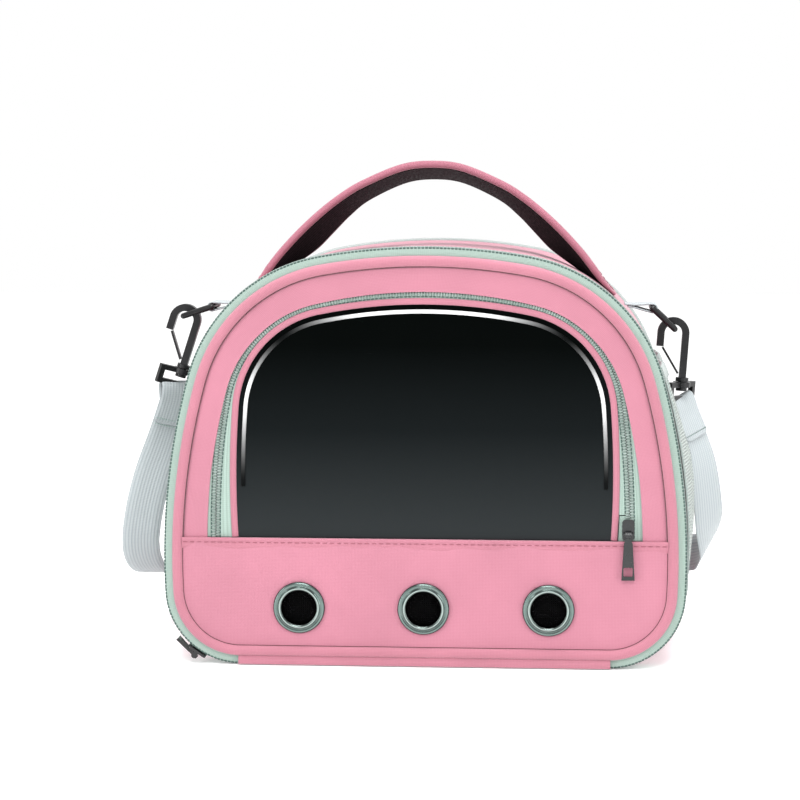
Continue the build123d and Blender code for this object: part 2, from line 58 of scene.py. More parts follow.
def facing(place, aim):
    """The turn that points a camera or lamp from its place at its aim."""
    return (Vector(aim) - Vector(place)).to_track_quat("-Z", "Y").to_euler()


# ---- camera ----
CAMERA_PLACE = (0.092, -1.59, 0.310)
CAMERA_AIM = (-0.0146, -0.090, 0.168)
camera_data = bpy.data.cameras.new("camera")
camera_data.lens = 109.7
camera_data.sensor_width = 36.0
camera_data.clip_end = 50.0
camera = bpy.data.objects.new("camera", camera_data)
camera.location = CAMERA_PLACE
camera.rotation_euler = facing(CAMERA_PLACE, CAMERA_AIM)
bpy.context.collection.objects.link(camera)
bpy.context.scene.camera = camera


def part_way(value, low, high):
    """How far a value lies from low to high, held between 0 and 1."""
    return max(0.0, min(1.0, (value - low) / (high - low)))


def ease(t):
    """Smooth a 0 to 1 share at both ends."""
    return t * t * (3 - 2 * t)


def circle(count):
    """Evenly spaced angles round a full turn."""
    return [2 * math.pi * k / count for k in range(count)]


# ---- materials ----
EYELET_PITCH = 78.0
EYELET_Z = 37.0


class Shader:
    """A material round one Principled shader, with short calls to add nodes."""

    def __init__(self, name, colour=None, **sockets):
        self.material = bpy.data.materials.new(name)
        self.material.use_nodes = True
        self.tree = self.material.node_tree
        self.bsdf = self.tree.nodes["Principled BSDF"]
        if colour:
            self.bsdf.inputs["Base Color"].default_value = (*colour, 1.0)
        for socket, value in sockets.items():
            self.bsdf.inputs[socket.replace("_", " ")].default_value = value

    def add(self, kind, *inputs, **props):
        """A node whose inputs, in order, are sockets to link or plain values."""
        made = self.tree.nodes.new("ShaderNode" + kind)
        for key, value in props.items():
            setattr(made, key, value)
        for slot, value in enumerate(inputs):
            if isinstance(value, bpy.types.NodeSocket):
                self.tree.links.new(value, made.inputs[slot])
            else:
                made.inputs[slot].default_value = value
        return made

    def math(self, operation, *inputs):
        return self.add("Math", *inputs, operation=operation).outputs[0]

    def between(self, value, low, high, first, last):
        """Carry the range low to high over to first to last."""
        return self.add("MapRange", value, low, high, first, last).outputs[0]

    def ripple(self, value, pitch):
        """Ridges from 0 to 1 across a coordinate."""
        turn = self.math("MULTIPLY", value, math.pi / pitch)
        return self.math("ABSOLUTE", self.math("SINE", turn))

    def link(self, output, socket):
        self.tree.links.new(output, self.bsdf.inputs[socket])

    def coords(self, uv):
        return self.add("TexCoord").outputs["UV" if uv else "Object"]

    def scaled(self, vector, scale):
        mapping = self.add("Mapping", vector)
        mapping.inputs["Scale"].default_value = scale
        return mapping.outputs[0]

    def ramp(self, factor, *stops):
        made = self.add("ValToRGB", factor)
        elements = made.color_ramp.elements
        while len(elements) < len(stops):
            elements.new(0.5)
        for element, (place, colour) in zip(elements, stops):
            element.position = place
            element.color = (*colour, 1.0)
        return made.outputs[0]

    def spots(self, vector, size, detail=3.0, rough=0.55):
        made = self.add("TexNoise", vector)
        made.inputs["Scale"].default_value = 1.0 / size
        made.inputs["Detail"].default_value = detail
        made.inputs["Roughness"].default_value = rough
        return made.outputs[0]

    def mix(self, factor, a, b, blend="MIX"):
        made = self.tree.nodes.new("ShaderNodeMix")
        made.data_type = "RGBA"
        made.blend_type = blend
        for slot, value in ((0, factor), (6, a), (7, b)):
            if isinstance(value, bpy.types.NodeSocket):
                self.tree.links.new(value, made.inputs[slot])
            elif slot == 0:
                made.inputs[slot].default_value = value
            else:
                made.inputs[slot].default_value = (*value, 1.0)
        return made.outputs[2]

    def bump(self, height, strength, distance):
        made = self.add("Bump")
        made.inputs["Strength"].default_value = strength
        made.inputs["Distance"].default_value = distance
        self.tree.links.new(height, made.inputs["Height"])
        self.link(made.outputs[0], "Normal")


def threads(shader, vector, pitch):
    """Plain weave: 1 on the crown of a thread and 0 between threads."""
    parts = shader.add("SeparateXYZ", vector).outputs
    squares = shader.add("TexChecker", shader.scaled(vector, (1 / pitch, 1 / pitch, 1)))
    squares.inputs["Scale"].default_value = 1.0
    over = squares.outputs["Fac"]
    under = shader.math("SUBTRACT", 1.0, over)
    warp = shader.math("MULTIPLY", shader.ripple(parts[0], pitch), over)
    weft = shader.math("MULTIPLY", shader.ripple(parts[1], pitch), under)
    return shader.math("ADD", warp, weft)


def fabric(name, light, dark, pitch=0.0009, depth=0.00012, uv=True, sheen=0.25, rough=0.82):
    """Woven cloth with threads, soft sheen and slow changes of shade."""
    shader = Shader(name, Roughness=rough, Sheen_Weight=sheen, Sheen_Roughness=0.5,
                    Specular_IOR_Level=0.25)
    vector = shader.coords(uv)
    weave = threads(shader, vector, pitch)
    fuzz = shader.spots(vector, 0.0016)
    height = shader.math("ADD", weave, shader.math("MULTIPLY", fuzz, 0.5))
    woven = shader.mix(weave, dark, light)
    patch = shader.spots(shader.coords(False), 0.05, 2.0)
    tone = shader.ramp(patch, (0.3, (0.90, 0.90, 0.90)), (0.7, (1.0, 1.0, 1.0)))
    shader.link(shader.mix(1.0, woven, tone, "MULTIPLY"), "Base Color")
    shader.link(shader.between(fuzz, 0.3, 0.7, rough - 0.08, min(1.0, rough + 0.1)), "Roughness")
    shader.bump(height, 0.55, depth)
    return shader.material


def ribbed(name, light, dark, rib, sheen=0.2, gloss=0.3):
    """Webbing: ribs that run along V with small cross picks."""
    shader = Shader(name, Sheen_Weight=sheen, Sheen_Roughness=0.4, Specular_IOR_Level=gloss)
    vector = shader.coords(True)
    parts = shader.add("SeparateXYZ", vector).outputs
    pick = shader.math("MULTIPLY", shader.ripple(parts[1], 0.0012), 0.35)
    height = shader.math("ADD", shader.ripple(parts[0], rib), pick)
    shader.link(shader.mix(shader.math("MULTIPLY", height, 0.75), dark, light), "Base Color")
    fuzz = shader.spots(vector, 0.002)
    shader.link(shader.between(fuzz, 0.3, 0.7, 0.6, 0.82), "Roughness")
    shader.bump(height, 0.6, 0.0002)
    return shader.material


def moulded(name, colour, worn, rough, metal=0.0, depth=0.00004, gloss=0.5):
    """Moulded plastic or plated metal with fine grain and rubbed places."""
    shader = Shader(name, Metallic=metal, Specular_IOR_Level=gloss)
    vector = shader.coords(False)
    rub = shader.spots(vector, 0.012, 4.0, 0.6)
    shader.link(shader.ramp(rub, (0.42, colour), (0.72, worn)), "Base Color")
    shader.link(shader.between(rub, 0.3, 0.75, rough - 0.07, rough + 0.12), "Roughness")
    shader.bump(shader.spots(vector, 0.0011), 0.35, depth)
    return shader.material


def netting(name, colour, hole, cover, gloss=0.3):
    """Knitted mesh: strands with open holes between them."""
    shader = Shader(name, Roughness=0.75, Specular_IOR_Level=gloss)
    parts = shader.add("SeparateXYZ", shader.coords(True)).outputs
    strand = shader.math("MINIMUM", shader.ripple(parts[0], hole), shader.ripple(parts[1], hole))
    shader.link(shader.mix(strand, colour, [c * 0.8 for c in colour]), "Base Color")
    shader.link(shader.between(strand, 0.45, 0.6, 1.0, cover), "Alpha")
    shader.bump(shader.math("SUBTRACT", 1.0, strand), 0.5, 0.0002)
    return shader.material


pink_cloth = fabric("pink_cloth", (0.400, 0.162, 0.212), (0.330, 0.118, 0.162))
pink_edge = fabric("pink_edge", (0.385, 0.152, 0.196), (0.305, 0.106, 0.145))
handle_cloth = fabric("handle_cloth", (0.300, 0.108, 0.145), (0.235, 0.078, 0.108))
# Near-black cloth for a painted shadow along the door's seam.
seam_painted_shadow = fabric("seam_painted_shadow", (0.105, 0.028, 0.040), (0.075, 0.020, 0.029), 0.0004, uv=False)
seam_thread = fabric("seam_thread", (0.27, 0.075, 0.105), (0.19, 0.05, 0.075), 0.0004, uv=False)
mint_cloth = ribbed("mint_tape_cloth", (0.262, 0.345, 0.305), (0.185, 0.250, 0.218), 0.0008)
chain_nylon = moulded("chain_nylon", (0.180, 0.225, 0.205), (0.26, 0.31, 0.29), 0.40)
green_thread = moulded("green_thread", (0.022, 0.055, 0.046), (0.045, 0.085, 0.072), 0.6)
binding_cloth = fabric("binding_cloth", (0.31, 0.345, 0.335), (0.22, 0.255, 0.245), 0.0007)
lining_cloth = fabric("lining_cloth", (0.27, 0.275, 0.28), (0.19, 0.195, 0.20), 0.0008)
strap_cloth = ribbed("strap_webbing", (0.345, 0.375, 0.385), (0.245, 0.275, 0.288), 0.0021)
strap_thread = fabric("strap_thread", (0.27, 0.37, 0.335), (0.19, 0.28, 0.25), 0.0004, uv=False)
black_cloth = ribbed("black_webbing_cloth", (0.0045, 0.0042, 0.0045), (0.001, 0.001, 0.001), 0.0028,
                     sheen=0.0, gloss=0.15)
black_plastic = moulded("black_moulding", (0.0035, 0.0035, 0.004), (0.008, 0.008, 0.009), 0.30, gloss=0.3)
gunmetal = moulded("gunmetal_plate", (0.085, 0.115, 0.105), (0.15, 0.18, 0.17), 0.20, 1.0, depth=0.00001)
pull_metal = moulded("pull_metal", (0.006, 0.0065, 0.007), (0.014, 0.015, 0.016), 0.12,
                     depth=0.00001, gloss=0.4)
dark_net = netting("dark_net", (0.0012, 0.0012, 0.0014), 0.0012, 0.85, gloss=0.05)
pale_net = netting("pale_net", (0.40, 0.44, 0.42), 0.0021, 0.30)
board_card = moulded("board_card", (0.14, 0.14, 0.145), (0.18, 0.18, 0.185), 0.8, depth=0.0001)
fleece = fabric("pad_fleece_cloth", (0.42, 0.415, 0.40), (0.33, 0.325, 0.315), 0.0022, 0.0006,
                uv=False, sheen=0.6, rough=0.95)


def vinyl_material():
    """Smoked clear vinyl, near black, with a painted reflection of the floor that lightens it towards the
    bottom.
    """
    shader = Shader("smoked_vinyl_painted_reflection", Specular_IOR_Level=0.03)
    vector = shader.coords(False)
    height = shader.add("SeparateXYZ", vector).outputs[2]
    share = shader.between(height, 0.080, 0.232, 0.0, 1.0)
    # The ramp paints a reflection of the floor: dark grey at the bottom, near black at the top.
    painted_light_tint = shader.ramp(share, (0.0, (0.0175, 0.0205, 0.0215)), (0.45, (0.0035, 0.0048, 0.0052)),
                       (0.8, (0.0002, 0.0006, 0.0005)))
    shader.link(painted_light_tint, "Base Color")
    haze = shader.spots(vector, 0.03, 2.0)
    shader.link(shader.between(haze, 0.3, 0.7, 0.09, 0.16), "Roughness")
    shader.bump(haze, 0.12, 0.0006)
    return shader.material


vinyl = vinyl_material()


def bead_material():
    """Moulded ridge, black, with a painted highlight along the top and the middle of each side."""
    shader = Shader("vinyl_bead_painted_highlight", Roughness=0.3, Specular_IOR_Level=0.04)
    parts = shader.add("SeparateXYZ", shader.coords(False)).outputs
    wide = shader.math("ABSOLUTE", parts[0])
    # Masks for the painted highlight: the top, and the middle of each side.
    top = shader.between(wide, 0.040, 0.088, 1.0, 0.0)
    rise = shader.between(parts[2], 0.116, 0.165, 0.0, 1.0)
    fall = shader.between(parts[2], 0.176, 0.206, 1.0, 0.0)
    painted_highlight = shader.math("MAXIMUM", top, shader.math("MULTIPLY", rise, fall))
    painted_highlight = shader.math("POWER", painted_highlight, 2.0)
    # Pale grey where the highlight is painted, black elsewhere.
    shader.link(shader.mix(painted_highlight, (0.0015, 0.002, 0.002), (0.60, 0.61, 0.61)), "Base Color")
    return shader.material


bead_painted_highlight = bead_material()


def eyelet_plate_material():
    """Plated metal with painted light: a painted highlight on the inner ridge, painted shade on the inner
    lip, in the groove and round the rim, and rubbed wear.
    """
    shader = Shader("eyelet_plate_painted_light", Metallic=1.0, Roughness=0.16)
    vector = shader.coords(False)
    parts = shader.add("SeparateXYZ", vector).outputs
    across = shader.math("WRAP", parts[0], EYELET_PITCH / 2 * MM, -EYELET_PITCH / 2 * MM)
    up = shader.math("SUBTRACT", parts[2], EYELET_Z * MM)
    squares = [shader.math("MULTIPLY", side, side) for side in (across, up)]
    reach = shader.math("SQRT", shader.math("ADD", *squares))
    share = shader.between(reach, 0.0105, 0.0165, 0.0, 1.0)
    # Rings by distance from the centre: painted shade on the inner lip, a painted highlight on the ridge,
    # painted shade in the groove, the plate's grey on the flat, painted shade at the rim.
    painted_light_tint = shader.ramp(share, (0.14, (0.010, 0.012, 0.012)), (0.24, (0.24, 0.30, 0.28)),
                       (0.31, (0.34, 0.40, 0.38)), (0.38, (0.020, 0.032, 0.030)),
                       (0.56, (0.085, 0.120, 0.110)), (0.80, (0.125, 0.170, 0.158)),
                       (0.90, (0.018, 0.026, 0.025)))
    worn = shader.spots(vector, 0.006, 3.0)
    rub = shader.between(worn, 0.35, 0.7, 0.0, 0.45)
    shader.link(shader.mix(rub, painted_light_tint, (0.16, 0.19, 0.18)), "Base Color")
    return shader.material


eyelet_plate_painted_light = eyelet_plate_material()


def piece(name, verts, faces, material, body, uvs=None, replaces=(), sharp=50.0, inner=None):
    """A finished piece from points in millimetres, riding on a body."""
    mesh = bpy.data.meshes.new(name)
    mesh.from_pydata([Vector(v) * MM for v in verts], [], faces)
    if uvs:
        layer = mesh.uv_layers.new(name="weave")
        for loop in mesh.loops:
            u, v = uvs[loop.vertex_index]
            layer.data[loop.index].uv = (u * MM, v * MM)
    mesh.materials.append(material)
    if inner:
        mesh.materials.append(inner[0])
        for polygon in mesh.polygons:
            if polygon.index in inner[1]:
                polygon.material_index = 1
    mesh.validate()
    for polygon in mesh.polygons:
        polygon.use_smooth = True
    mesh.set_sharp_from_angle(angle=math.radians(sharp))
    made = bpy.data.objects.new(name, mesh)
    bpy.context.collection.objects.link(made)
    if body:
        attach(made, body)
    if replaces:
        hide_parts(*replaces)
    return made


def grid_faces(rows, cols, close_rows=False, close_cols=False, first=0):
    """Quads over a grid whose point (r, c) has index first + r * cols + c."""
    faces = []
    for r in range(rows if close_rows else rows - 1):
        for c in range(cols if close_cols else cols - 1):
            r2 = (r + 1) % rows
            c2 = (c + 1) % cols
            faces.append((
                first + r * cols + c, first + r * cols + c2,
                first + r2 * cols + c2, first + r2 * cols + c,
            ))
    return faces


def capped(rows, cols, first=0):
    """Quads round a tube of points, with a face over each end."""
    last = first + (rows - 1) * cols
    faces = grid_faces(rows, cols, False, True, first)
    return faces + [tuple(range(first + cols - 1, first - 1, -1)), tuple(range(last, last + cols))]


def run_lengths(points):
    """Distance along a list of points."""
    out = [0.0]
    for a, b in zip(points, points[1:]):
        out.append(out[-1] + (Vector(b) - Vector(a)).length)
    return out


def runs(points):
    """The way a line of points heads at each of them."""
    last = len(points) - 1
    return [(points[min(i + 1, last)] - points[max(i - 1, 0)]).normalized() for i in range(last + 1)]


def loft(name, rings, material, body, closed_path=False, replaces=(), sharp=50.0):
    """A closed skin over equal section rings, with end caps on an open path."""
    cols = len(rings[0])
    verts = [p for ring in rings for p in ring]
    faces = grid_faces(len(rings), cols, True, True) if closed_path else capped(len(rings), cols)
    along = run_lengths([ring[0] for ring in rings])
    around = run_lengths(rings[len(rings) // 2])
    uvs = [(around[c], along[r]) for r in range(len(rings)) for c in range(cols)]
    return piece(name, verts, faces, material, body, uvs, replaces, sharp)


def shell(name, front, back, material, body, closed=False, replaces=(), inner=None):
    """A padded sheet between two grids of points, joined round their edges."""
    rows = len(front)
    cols = len(front[0])
    count = rows * cols
    verts = [p for row in front for p in row] + [p for row in back for p in row]
    faces = grid_faces(rows, cols, closed)
    start = len(faces)
    faces += [tuple(reversed(f)) for f in grid_faces(rows, cols, closed, first=count)]
    second = (inner, set(range(start, len(faces)))) if inner else None
    for r in range(rows if closed else rows - 1):
        r2 = (r + 1) % rows
        faces.append((r * cols, r2 * cols, count + r2 * cols, count + r * cols))
        a = r * cols + cols - 1
        b = r2 * cols + cols - 1
        faces.append((b, a, count + a, count + b))
    if not closed:
        last = (rows - 1) * cols
        for c in range(cols - 1):
            faces.append((c + 1, c, count + c, count + c + 1))
            c += last
            faces.append((c, c + 1, count + c + 1, count + c))
    along = run_lengths([row[cols // 2] for row in front])
    across = run_lengths(front[rows // 2])
    uvs = [(across[c], along[r]) for r in range(rows) for c in range(cols)] * 2
    return piece(name, verts, faces, material, body, uvs, replaces, inner=second)


def beads(name, places, half, material, body, sides=6, replaces=()):
    """Small rounded bars at (centre, along, across, out) places: teeth or stitches."""
    stations = ((-1.0, 0.3), (-0.82, 0.85), (0.0, 1.0), (0.82, 0.85), (1.0, 0.3))
    verts = []
    faces = []
    for centre, along, across, out in places:
        first = len(verts)
        for share, width in stations:
            middle = centre + along * half[0] * share
            for a in circle(sides):
                reach = across * half[1] * math.cos(a) + out * half[2] * math.sin(a)
                verts.append(middle + reach * width)
        faces += capped(len(stations), sides, first)
    return piece(name, verts, faces, material, body, None, replaces, 60.0)


def lathe(name, profile, x0, z0, material, body, replaces):
    """Turn an (r, y) loop about an axis along Y through (x0, z0)."""
    rings = []
    for a in circle(96):
        rings.append([(x0 + r * math.sin(a), y, z0 + r * math.cos(a)) for r, y in profile])
    return loft(name, rings, material, body, True, replaces, 60.0)


def backed(front, depth):
    """The same grid of points, set back along Y."""
    return [[(x, y + depth, z) for x, y, z in row] for row in front]


def rounded(points, rounds=2):
    """Soften a closed loop by cutting its corners (Chaikin)."""
    for _ in range(rounds):
        cut = []
        for a, b in zip(points, points[1:] + points[:1]):
            for share in (0.25, 0.75):
                cut.append(tuple(Vector(a).lerp(Vector(b), share)))
        points = cut
    return points


def wrinkle(x, y, z, size):
    """Slow folds from -1 to 1, the same every run."""
    return noise.noise(Vector((x / size, y / size, z / size)))


def keep_node(name, material, bevel=0.0, segments=2):
    """Show a CAD node as it is, with its material and softened edges."""
    node = nodes[name]
    node.data.materials.clear()
    node.data.materials.append(material)
    if bevel:
        soften = node.modifiers.new("edge", "BEVEL")
        soften.width = bevel * MM
        soften.segments = segments
        soften.limit_method = "ANGLE"
        soften.angle_limit = math.radians(35)
        soften.harden_normals = False
    return node


# ---- outlines ----
def tangent_dome(half, top, widest, r_top, r_shoulder, r_side):
    """Arcs of a dome's right half: (centre, radius, start angle, end angle)."""
    top_c = Vector((0.0, top - r_top))
    side_c = Vector((half - r_side, widest))
    d_top = r_top - r_shoulder
    d_side = r_side - r_shoulder
    across = side_c - top_c
    span = across.length
    along = (d_top ** 2 - d_side ** 2 + span ** 2) / (2 * span)
    aside = math.sqrt(d_top ** 2 - along ** 2)
    unit = across / span
    shoulder_c = top_c + unit * along + Vector((unit.y, -unit.x)) * aside
    to_top = shoulder_c - top_c
    to_side = shoulder_c - side_c
    a1 = math.atan2(to_top.x, to_top.y)
    a2 = math.atan2(to_side.x, to_side.y)
    return top_c, shoulder_c, side_c, a1, a2


class Outline:
    """A symmetric outline in the front plane, measured from its top centre."""

    def __init__(self, half, top, widest, r_top, r_shoulder, r_side, base_z=None, corner=None):
        top_c, shoulder_c, side_c, a1, a2 = tangent_dome(half, top, widest, r_top, r_shoulder, r_side)
        self.arcs = [(top_c, r_top, 0.0, a1), (shoulder_c, r_shoulder, a1, a2)]
        self.flat = 0.0
        if corner is None:
            self.arcs.append((side_c, r_side, a2, math.acos((base_z - widest) / r_side)))
        else:
            reach = r_side - corner
            self.flat = side_c.x + math.sqrt(reach ** 2 - (corner - widest) ** 2)
            corner_c = Vector((self.flat, corner))
            to_corner = corner_c - side_c
            a3 = math.atan2(to_corner.x, to_corner.y)
            self.arcs += [(side_c, r_side, a2, a3), (corner_c, corner, a3, math.pi)]
        self.curved = sum(r * (end - start) for _, r, start, end in self.arcs)
        self.half_length = self.curved + self.flat

    def at(self, s, inset=0.0):
        """(x, z, outward x, outward z) at a signed distance along the outline."""
        sign = -1.0 if s < 0 else 1.0
        left = abs(s)
        for centre, radius, start, end in self.arcs:
            run = radius * (end - start)
            if left <= run:
                a = start + left / radius
                nx = math.sin(a)
                nz = math.cos(a)
                x = centre.x + (radius - inset) * nx
                z = centre.y + (radius - inset) * nz
                return sign * x, z, sign * nx, nz
            left -= run
        return sign * max(0.0, self.flat - left), inset, 0.0, -1.0

    def where(self, height, inset=0.0):
        """Distance from the top centre down the right side to a height."""
        low = 0.0
        high = self.curved
        for _ in range(40):
            mid = (low + high) / 2
            if self.at(mid, inset)[1] > height:
                low = mid
            else:
                high = mid
        return low

    def spread(self, start, end, count):
        """Evenly spaced distances along the outline."""
        return [start + (end - start) * i / (count - 1) for i in range(count)]


# The same sizes as the frame's solids.
BODY = Outline(164.0, 263.0, 67.0, 372.0, 105.0, 428.0, corner=48.0)
HEM_Z = 80.5
OPENING = Outline(136.0, 237.4, 72.0, 294.0, 75.0, 462.0, base_z=HEM_Z)
CHAIN = Outline(127.0, 234.8, 84.0, 300.0, 70.0, 640.0, base_z=HEM_Z)
FLAP = Outline(121.5, 231.2, 118.0, 332.0, 67.0, 600.0, base_z=HEM_Z)
SEAM_INSET = 12.3
DOOR_BACK_Y = -84.3
PANEL_Y = -88.3
LOWER_Y = -89.7
LOWER_BACK_Y = -86.2
VENT_NET_Y = -83.0
HEM_Y = -90.5
GUSSET_Y = -81.9
BACK_IN_Y = 86.0
BACK_Y = 90.0
TAPE_Y = -87.1
FLAT_START = BODY.curved            # where the rounded corner meets the flat base
SHOULDER_Z = 181.0                  # where the side's arc meets the shoulder's
ALONG_X = Vector((1.0, 0.0, 0.0))
ALONG_Y = Vector((0.0, 1.0, 0.0))


def side_x(z):
    """Half-width of the outer surface below the shoulder."""
    centre, radius, _, _ = BODY.arcs[1 if z > SHOULDER_Z else 2]
    return centre.x + math.sqrt(radius ** 2 - (z - centre.y) ** 2)


def band(name, outline, reach, count, profile, material, body, closed=False, replaces=()):
    """Sweep a closed (inset, y) loop along an outline, as far to each side of its top."""
    rings = []
    for s in outline.spread(-reach, reach, count)[: count - 1 if closed else count]:
        x, z, nx, nz = outline.at(s)
        rings.append([(x - inset * nx, y, z - inset * nz) for inset, y in profile])
    return loft(name, rings, material, body, closed, replaces)


def chain_shift(s):
    """How far the window's zip swings outwards, more on the left than on the right."""
    return (3.6 if s < 0 else 1.0) * ease(part_way(abs(s), 90.0, 200.0))


def along_places(outline, start, end, pitch, inset, y, across):
    """Places for teeth (across the tape) or stitches (along it) on an outline."""
    places = []
    for i in range(int((end - start) / pitch) + 1):
        s = start + i * pitch
        x, z, nx, nz = outline.at(s)
        out = Vector((nx, 0.0, nz))
        run = Vector((nz, 0.0, -nx))
        centre = Vector((x, y, z)) - out * (inset - (chain_shift(s) if outline is CHAIN else 0.0))
        axes = (out, run) if across else (run, out)
        places.append((centre, *axes, ALONG_Y))
    return places


# ---- strap line: the same route as the frame's tube, in metres ----
STRAP_ROUTE = [
    (-0.169, 0.000, 0.158), (-0.176, 0.000, 0.134), (-0.186, 0.002, 0.108), (-0.193, 0.005, 0.082),
    (-0.197, 0.012, 0.056), (-0.194, 0.038, 0.036), (-0.184, 0.078, 0.033), (-0.150, 0.114, 0.033),
    (-0.098, 0.131, 0.031), (-0.036, 0.138, 0.029), (0.030, 0.137, 0.030), (0.090, 0.131, 0.034),
    (0.142, 0.118, 0.040), (0.177, 0.090, 0.046), (0.185, 0.050, 0.056), (0.183, 0.017, 0.076),
    (0.180, 0.003, 0.102), (0.176, 0.000, 0.128), (0.166, 0.000, 0.152),
]
STRAP_WIDTH = 25.0
STRAP_THICK = 1.5


def spline_points(route):
    """Points read from the smooth spline that a route controls."""
    data = bpy.data.curves.new("strap_line", "CURVE")
    data.dimensions = "3D"
    data.resolution_u = 10
    spline = data.splines.new("NURBS")
    spline.points.add(len(route) - 1)
    for point, place in zip(spline.points, route):
        point.co = (*place, 1.0)
    spline.order_u = 3
    spline.use_endpoint_u = True
    holder = bpy.data.objects.new("strap_line", data)
    bpy.context.collection.objects.link(holder)
    bpy.context.view_layer.update()
    read = bpy.data.meshes.new_from_object(holder)
    points = [v.co.copy() for v in read.vertices]
    bpy.data.objects.remove(holder)
    bpy.data.meshes.remove(read)
    return points


def turning(keys, share):
    """Blend between (share, direction) keys."""
    for (s0, d0), (s1, d1) in zip(keys, keys[1:]):
        if share <= s1:
            return Vector(d0).lerp(Vector(d1), ease(part_way(share, s0, s1))).normalized()
    return Vector(keys[-1][1]).normalized()


def ribbon_section(centre, wide, out, half, thick):
    """A flat strap's closed section with rounded edges."""
    ring = []
    marks = (-1.0, -0.96, -0.5, 0.0, 0.5, 0.96, 1.0)
    rise = (0.35, 0.9, 1.0, 1.0, 1.0, 0.9, 0.35)
    for m, r in zip(marks, rise):
        ring.append(centre + wide * half * m + out * thick / 2 * r)
    for m, r in zip(reversed(marks), reversed(rise)):
        ring.append(centre + wide * half * m - out * thick / 2 * r)
    return ring


# The strap faces forward beside the bag and stands on its edge behind it.
STRAP_TURNS = (
    (0.0, (0.82, 0.57, 0.0)), (0.08, (0.97, 0.2, 0.0)), (0.24, (1.0, 0.0, 0.0)),
    (0.33, (0.5, -0.4, 0.75)), (0.42, (0.0, 0.0, 1.0)), (0.66, (0.0, 0.0, 1.0)),
    (0.75, (-0.1, -0.1, 0.95)), (0.84, (0.45, 0.35, 0.75)), (0.92, (0.72, 0.68, 0.1)),
    (1.0, (0.60, 0.80, 0.0)),
)


def strap_frames():
    """(centre in mm, along, wide, out) down the strap's line."""
    points = [p / MM for p in spline_points(STRAP_ROUTE)]
    lengths = run_lengths(points)
    frames = []
    for p, along, length in zip(points, runs(points), lengths):
        wide = turning(STRAP_TURNS, length / lengths[-1])
        wide = (wide - along * wide.dot(along)).normalized()
        frames.append((p, along, wide, along.cross(wide).normalized()))
    return frames, lengths


frames, strap_lengths = strap_frames()
strap_rings = [ribbon_section(p, w, o, STRAP_WIDTH / 2, STRAP_THICK) for p, a, w, o in frames]
strap = loft("shoulder_strap_webbing", strap_rings, strap_cloth, "bag",
             replaces=["shoulder_strap"])

# Bars that the strap's ends are sewn round, from the frame's hook bases.
strap_pieces = []
hook_bars = {}
for side, swivel, tilt, turn in (
    ("left", (-164.585, 179.878), 18.0, 35.0), ("right", (162.926, 173.031), 4.0, 60.0),
):
    a = math.radians(tilt)
    drop = 12.1
    hook_bars[side] = Vector((swivel[0] - drop * math.sin(a), 0.0, swivel[1] - drop * math.cos(a)))


def strap_loop(side, run):
    """The doubled end of the strap, sewn round its hook's bar."""
    bar = hook_bars[side]
    start, _, wide, out = run[0]
    if out.y > 0:
        run = [(p, a, w, -o) for p, a, w, o in run]
        out = -out
    down = (start - bar).normalized()
    reach = (start - bar).length
    level = (wide - down * wide.dot(down)).normalized()
    face = down.cross(level).normalized()
    if face.dot(out) < 0:
        face = -face
    stops = run_lengths([p for p, _, _, _ in run])

    def nearest(distance):
        return run[min(range(len(run)), key=lambda i: abs(stops[i] - distance))]

    rings = []
    for distance in (18.0, 14.0, 10.0, 6.0, 2.0):
        p, _, w, o = nearest(distance)
        rings.append((p + o * 1.65, w, o))
    # Round the bar: (distance down the strap, lift off it, turn).
    around = (
        (reach - 3.0, 2.2, 0.0), (2.0, 2.9, 0.0), (-1.9, 2.1, 0.8), (-2.8, 0.0, 1.57), (-1.9, -2.1, 2.3),
        (1.0, -2.7, 3.14), (5.0, -1.6, 3.3), (reach, -0.2, 3.14), (reach + 2.0, -0.1, 3.14),
    )
    for d, n, a in around:
        rings.append((bar + down * d + face * n, level, face * math.cos(a) - down * math.sin(a)))
    sections = [ribbon_section(p, w, o, STRAP_WIDTH / 2 - 0.05, STRAP_THICK - 0.1) for p, w, o in rings]
    made = loft(f"{side}_strap_loop", sections, strap_cloth, "bag")
    soften = made.modifiers.new("round", "SUBSURF")
    soften.levels = 1
    soften.render_levels = 1
    rows = []
    for distance in (15.8, 13.4):
        p, along, w, o = nearest(distance)
        for i in range(-7, 8):
            rows.append((p + o * 2.45 + w * i * 1.6, w, along, o))
    sewn = beads(f"{side}_strap_stitches", rows, (0.62, 0.28, 0.25), strap_thread, "bag")
    return [made, sewn]


strap_pieces += strap_loop("left", frames[:40])
strap_pieces += strap_loop("right", frames[:-41:-1])


def strap_buckle():
    """A three-bar slide with the webbing threaded over its middle bar."""
    place = 0.36 * strap_lengths[-1]
    centre, along, wide, out = frames[min(range(len(frames)), key=lambda i: abs(strap_lengths[i] - place))]
    half_wide = STRAP_WIDTH / 2 + 3.0
    half_long = 13.0
    bars = []
    for d, lift in ((-half_long, 1.5), (0.0, -1.4), (half_long, 1.5)):
        bars.append((centre + along * d - out * lift, wide, along, out))
    sides = [(centre + wide * s * half_wide, along, wide, out) for s in (-1, 1)]
    rails = beads("strap_slide_rails", sides, (14.5, 1.9, 2.0), black_plastic, "bag", 10)
    cross = beads("strap_slide_bars", bars, (half_wide, 1.7, 1.3), black_plastic, "bag", 10,
                  replaces=["strap_adjuster"])
    return [rails, cross]


strap_pieces += strap_buckle()
for side in ("left", "right"):
    strap_pieces.append(keep_node(f"{side}_hook_base", black_plastic, 0.6))

# ---- hooks, rings and tabs ----
for side in ("left", "right"):
    keep_node(f"{side}_hook", black_plastic, 0.9, 3)
    keep_node(f"{side}_hook_gate", black_plastic, 0.35)
    keep_node(f"{side}_ring", black_plastic)


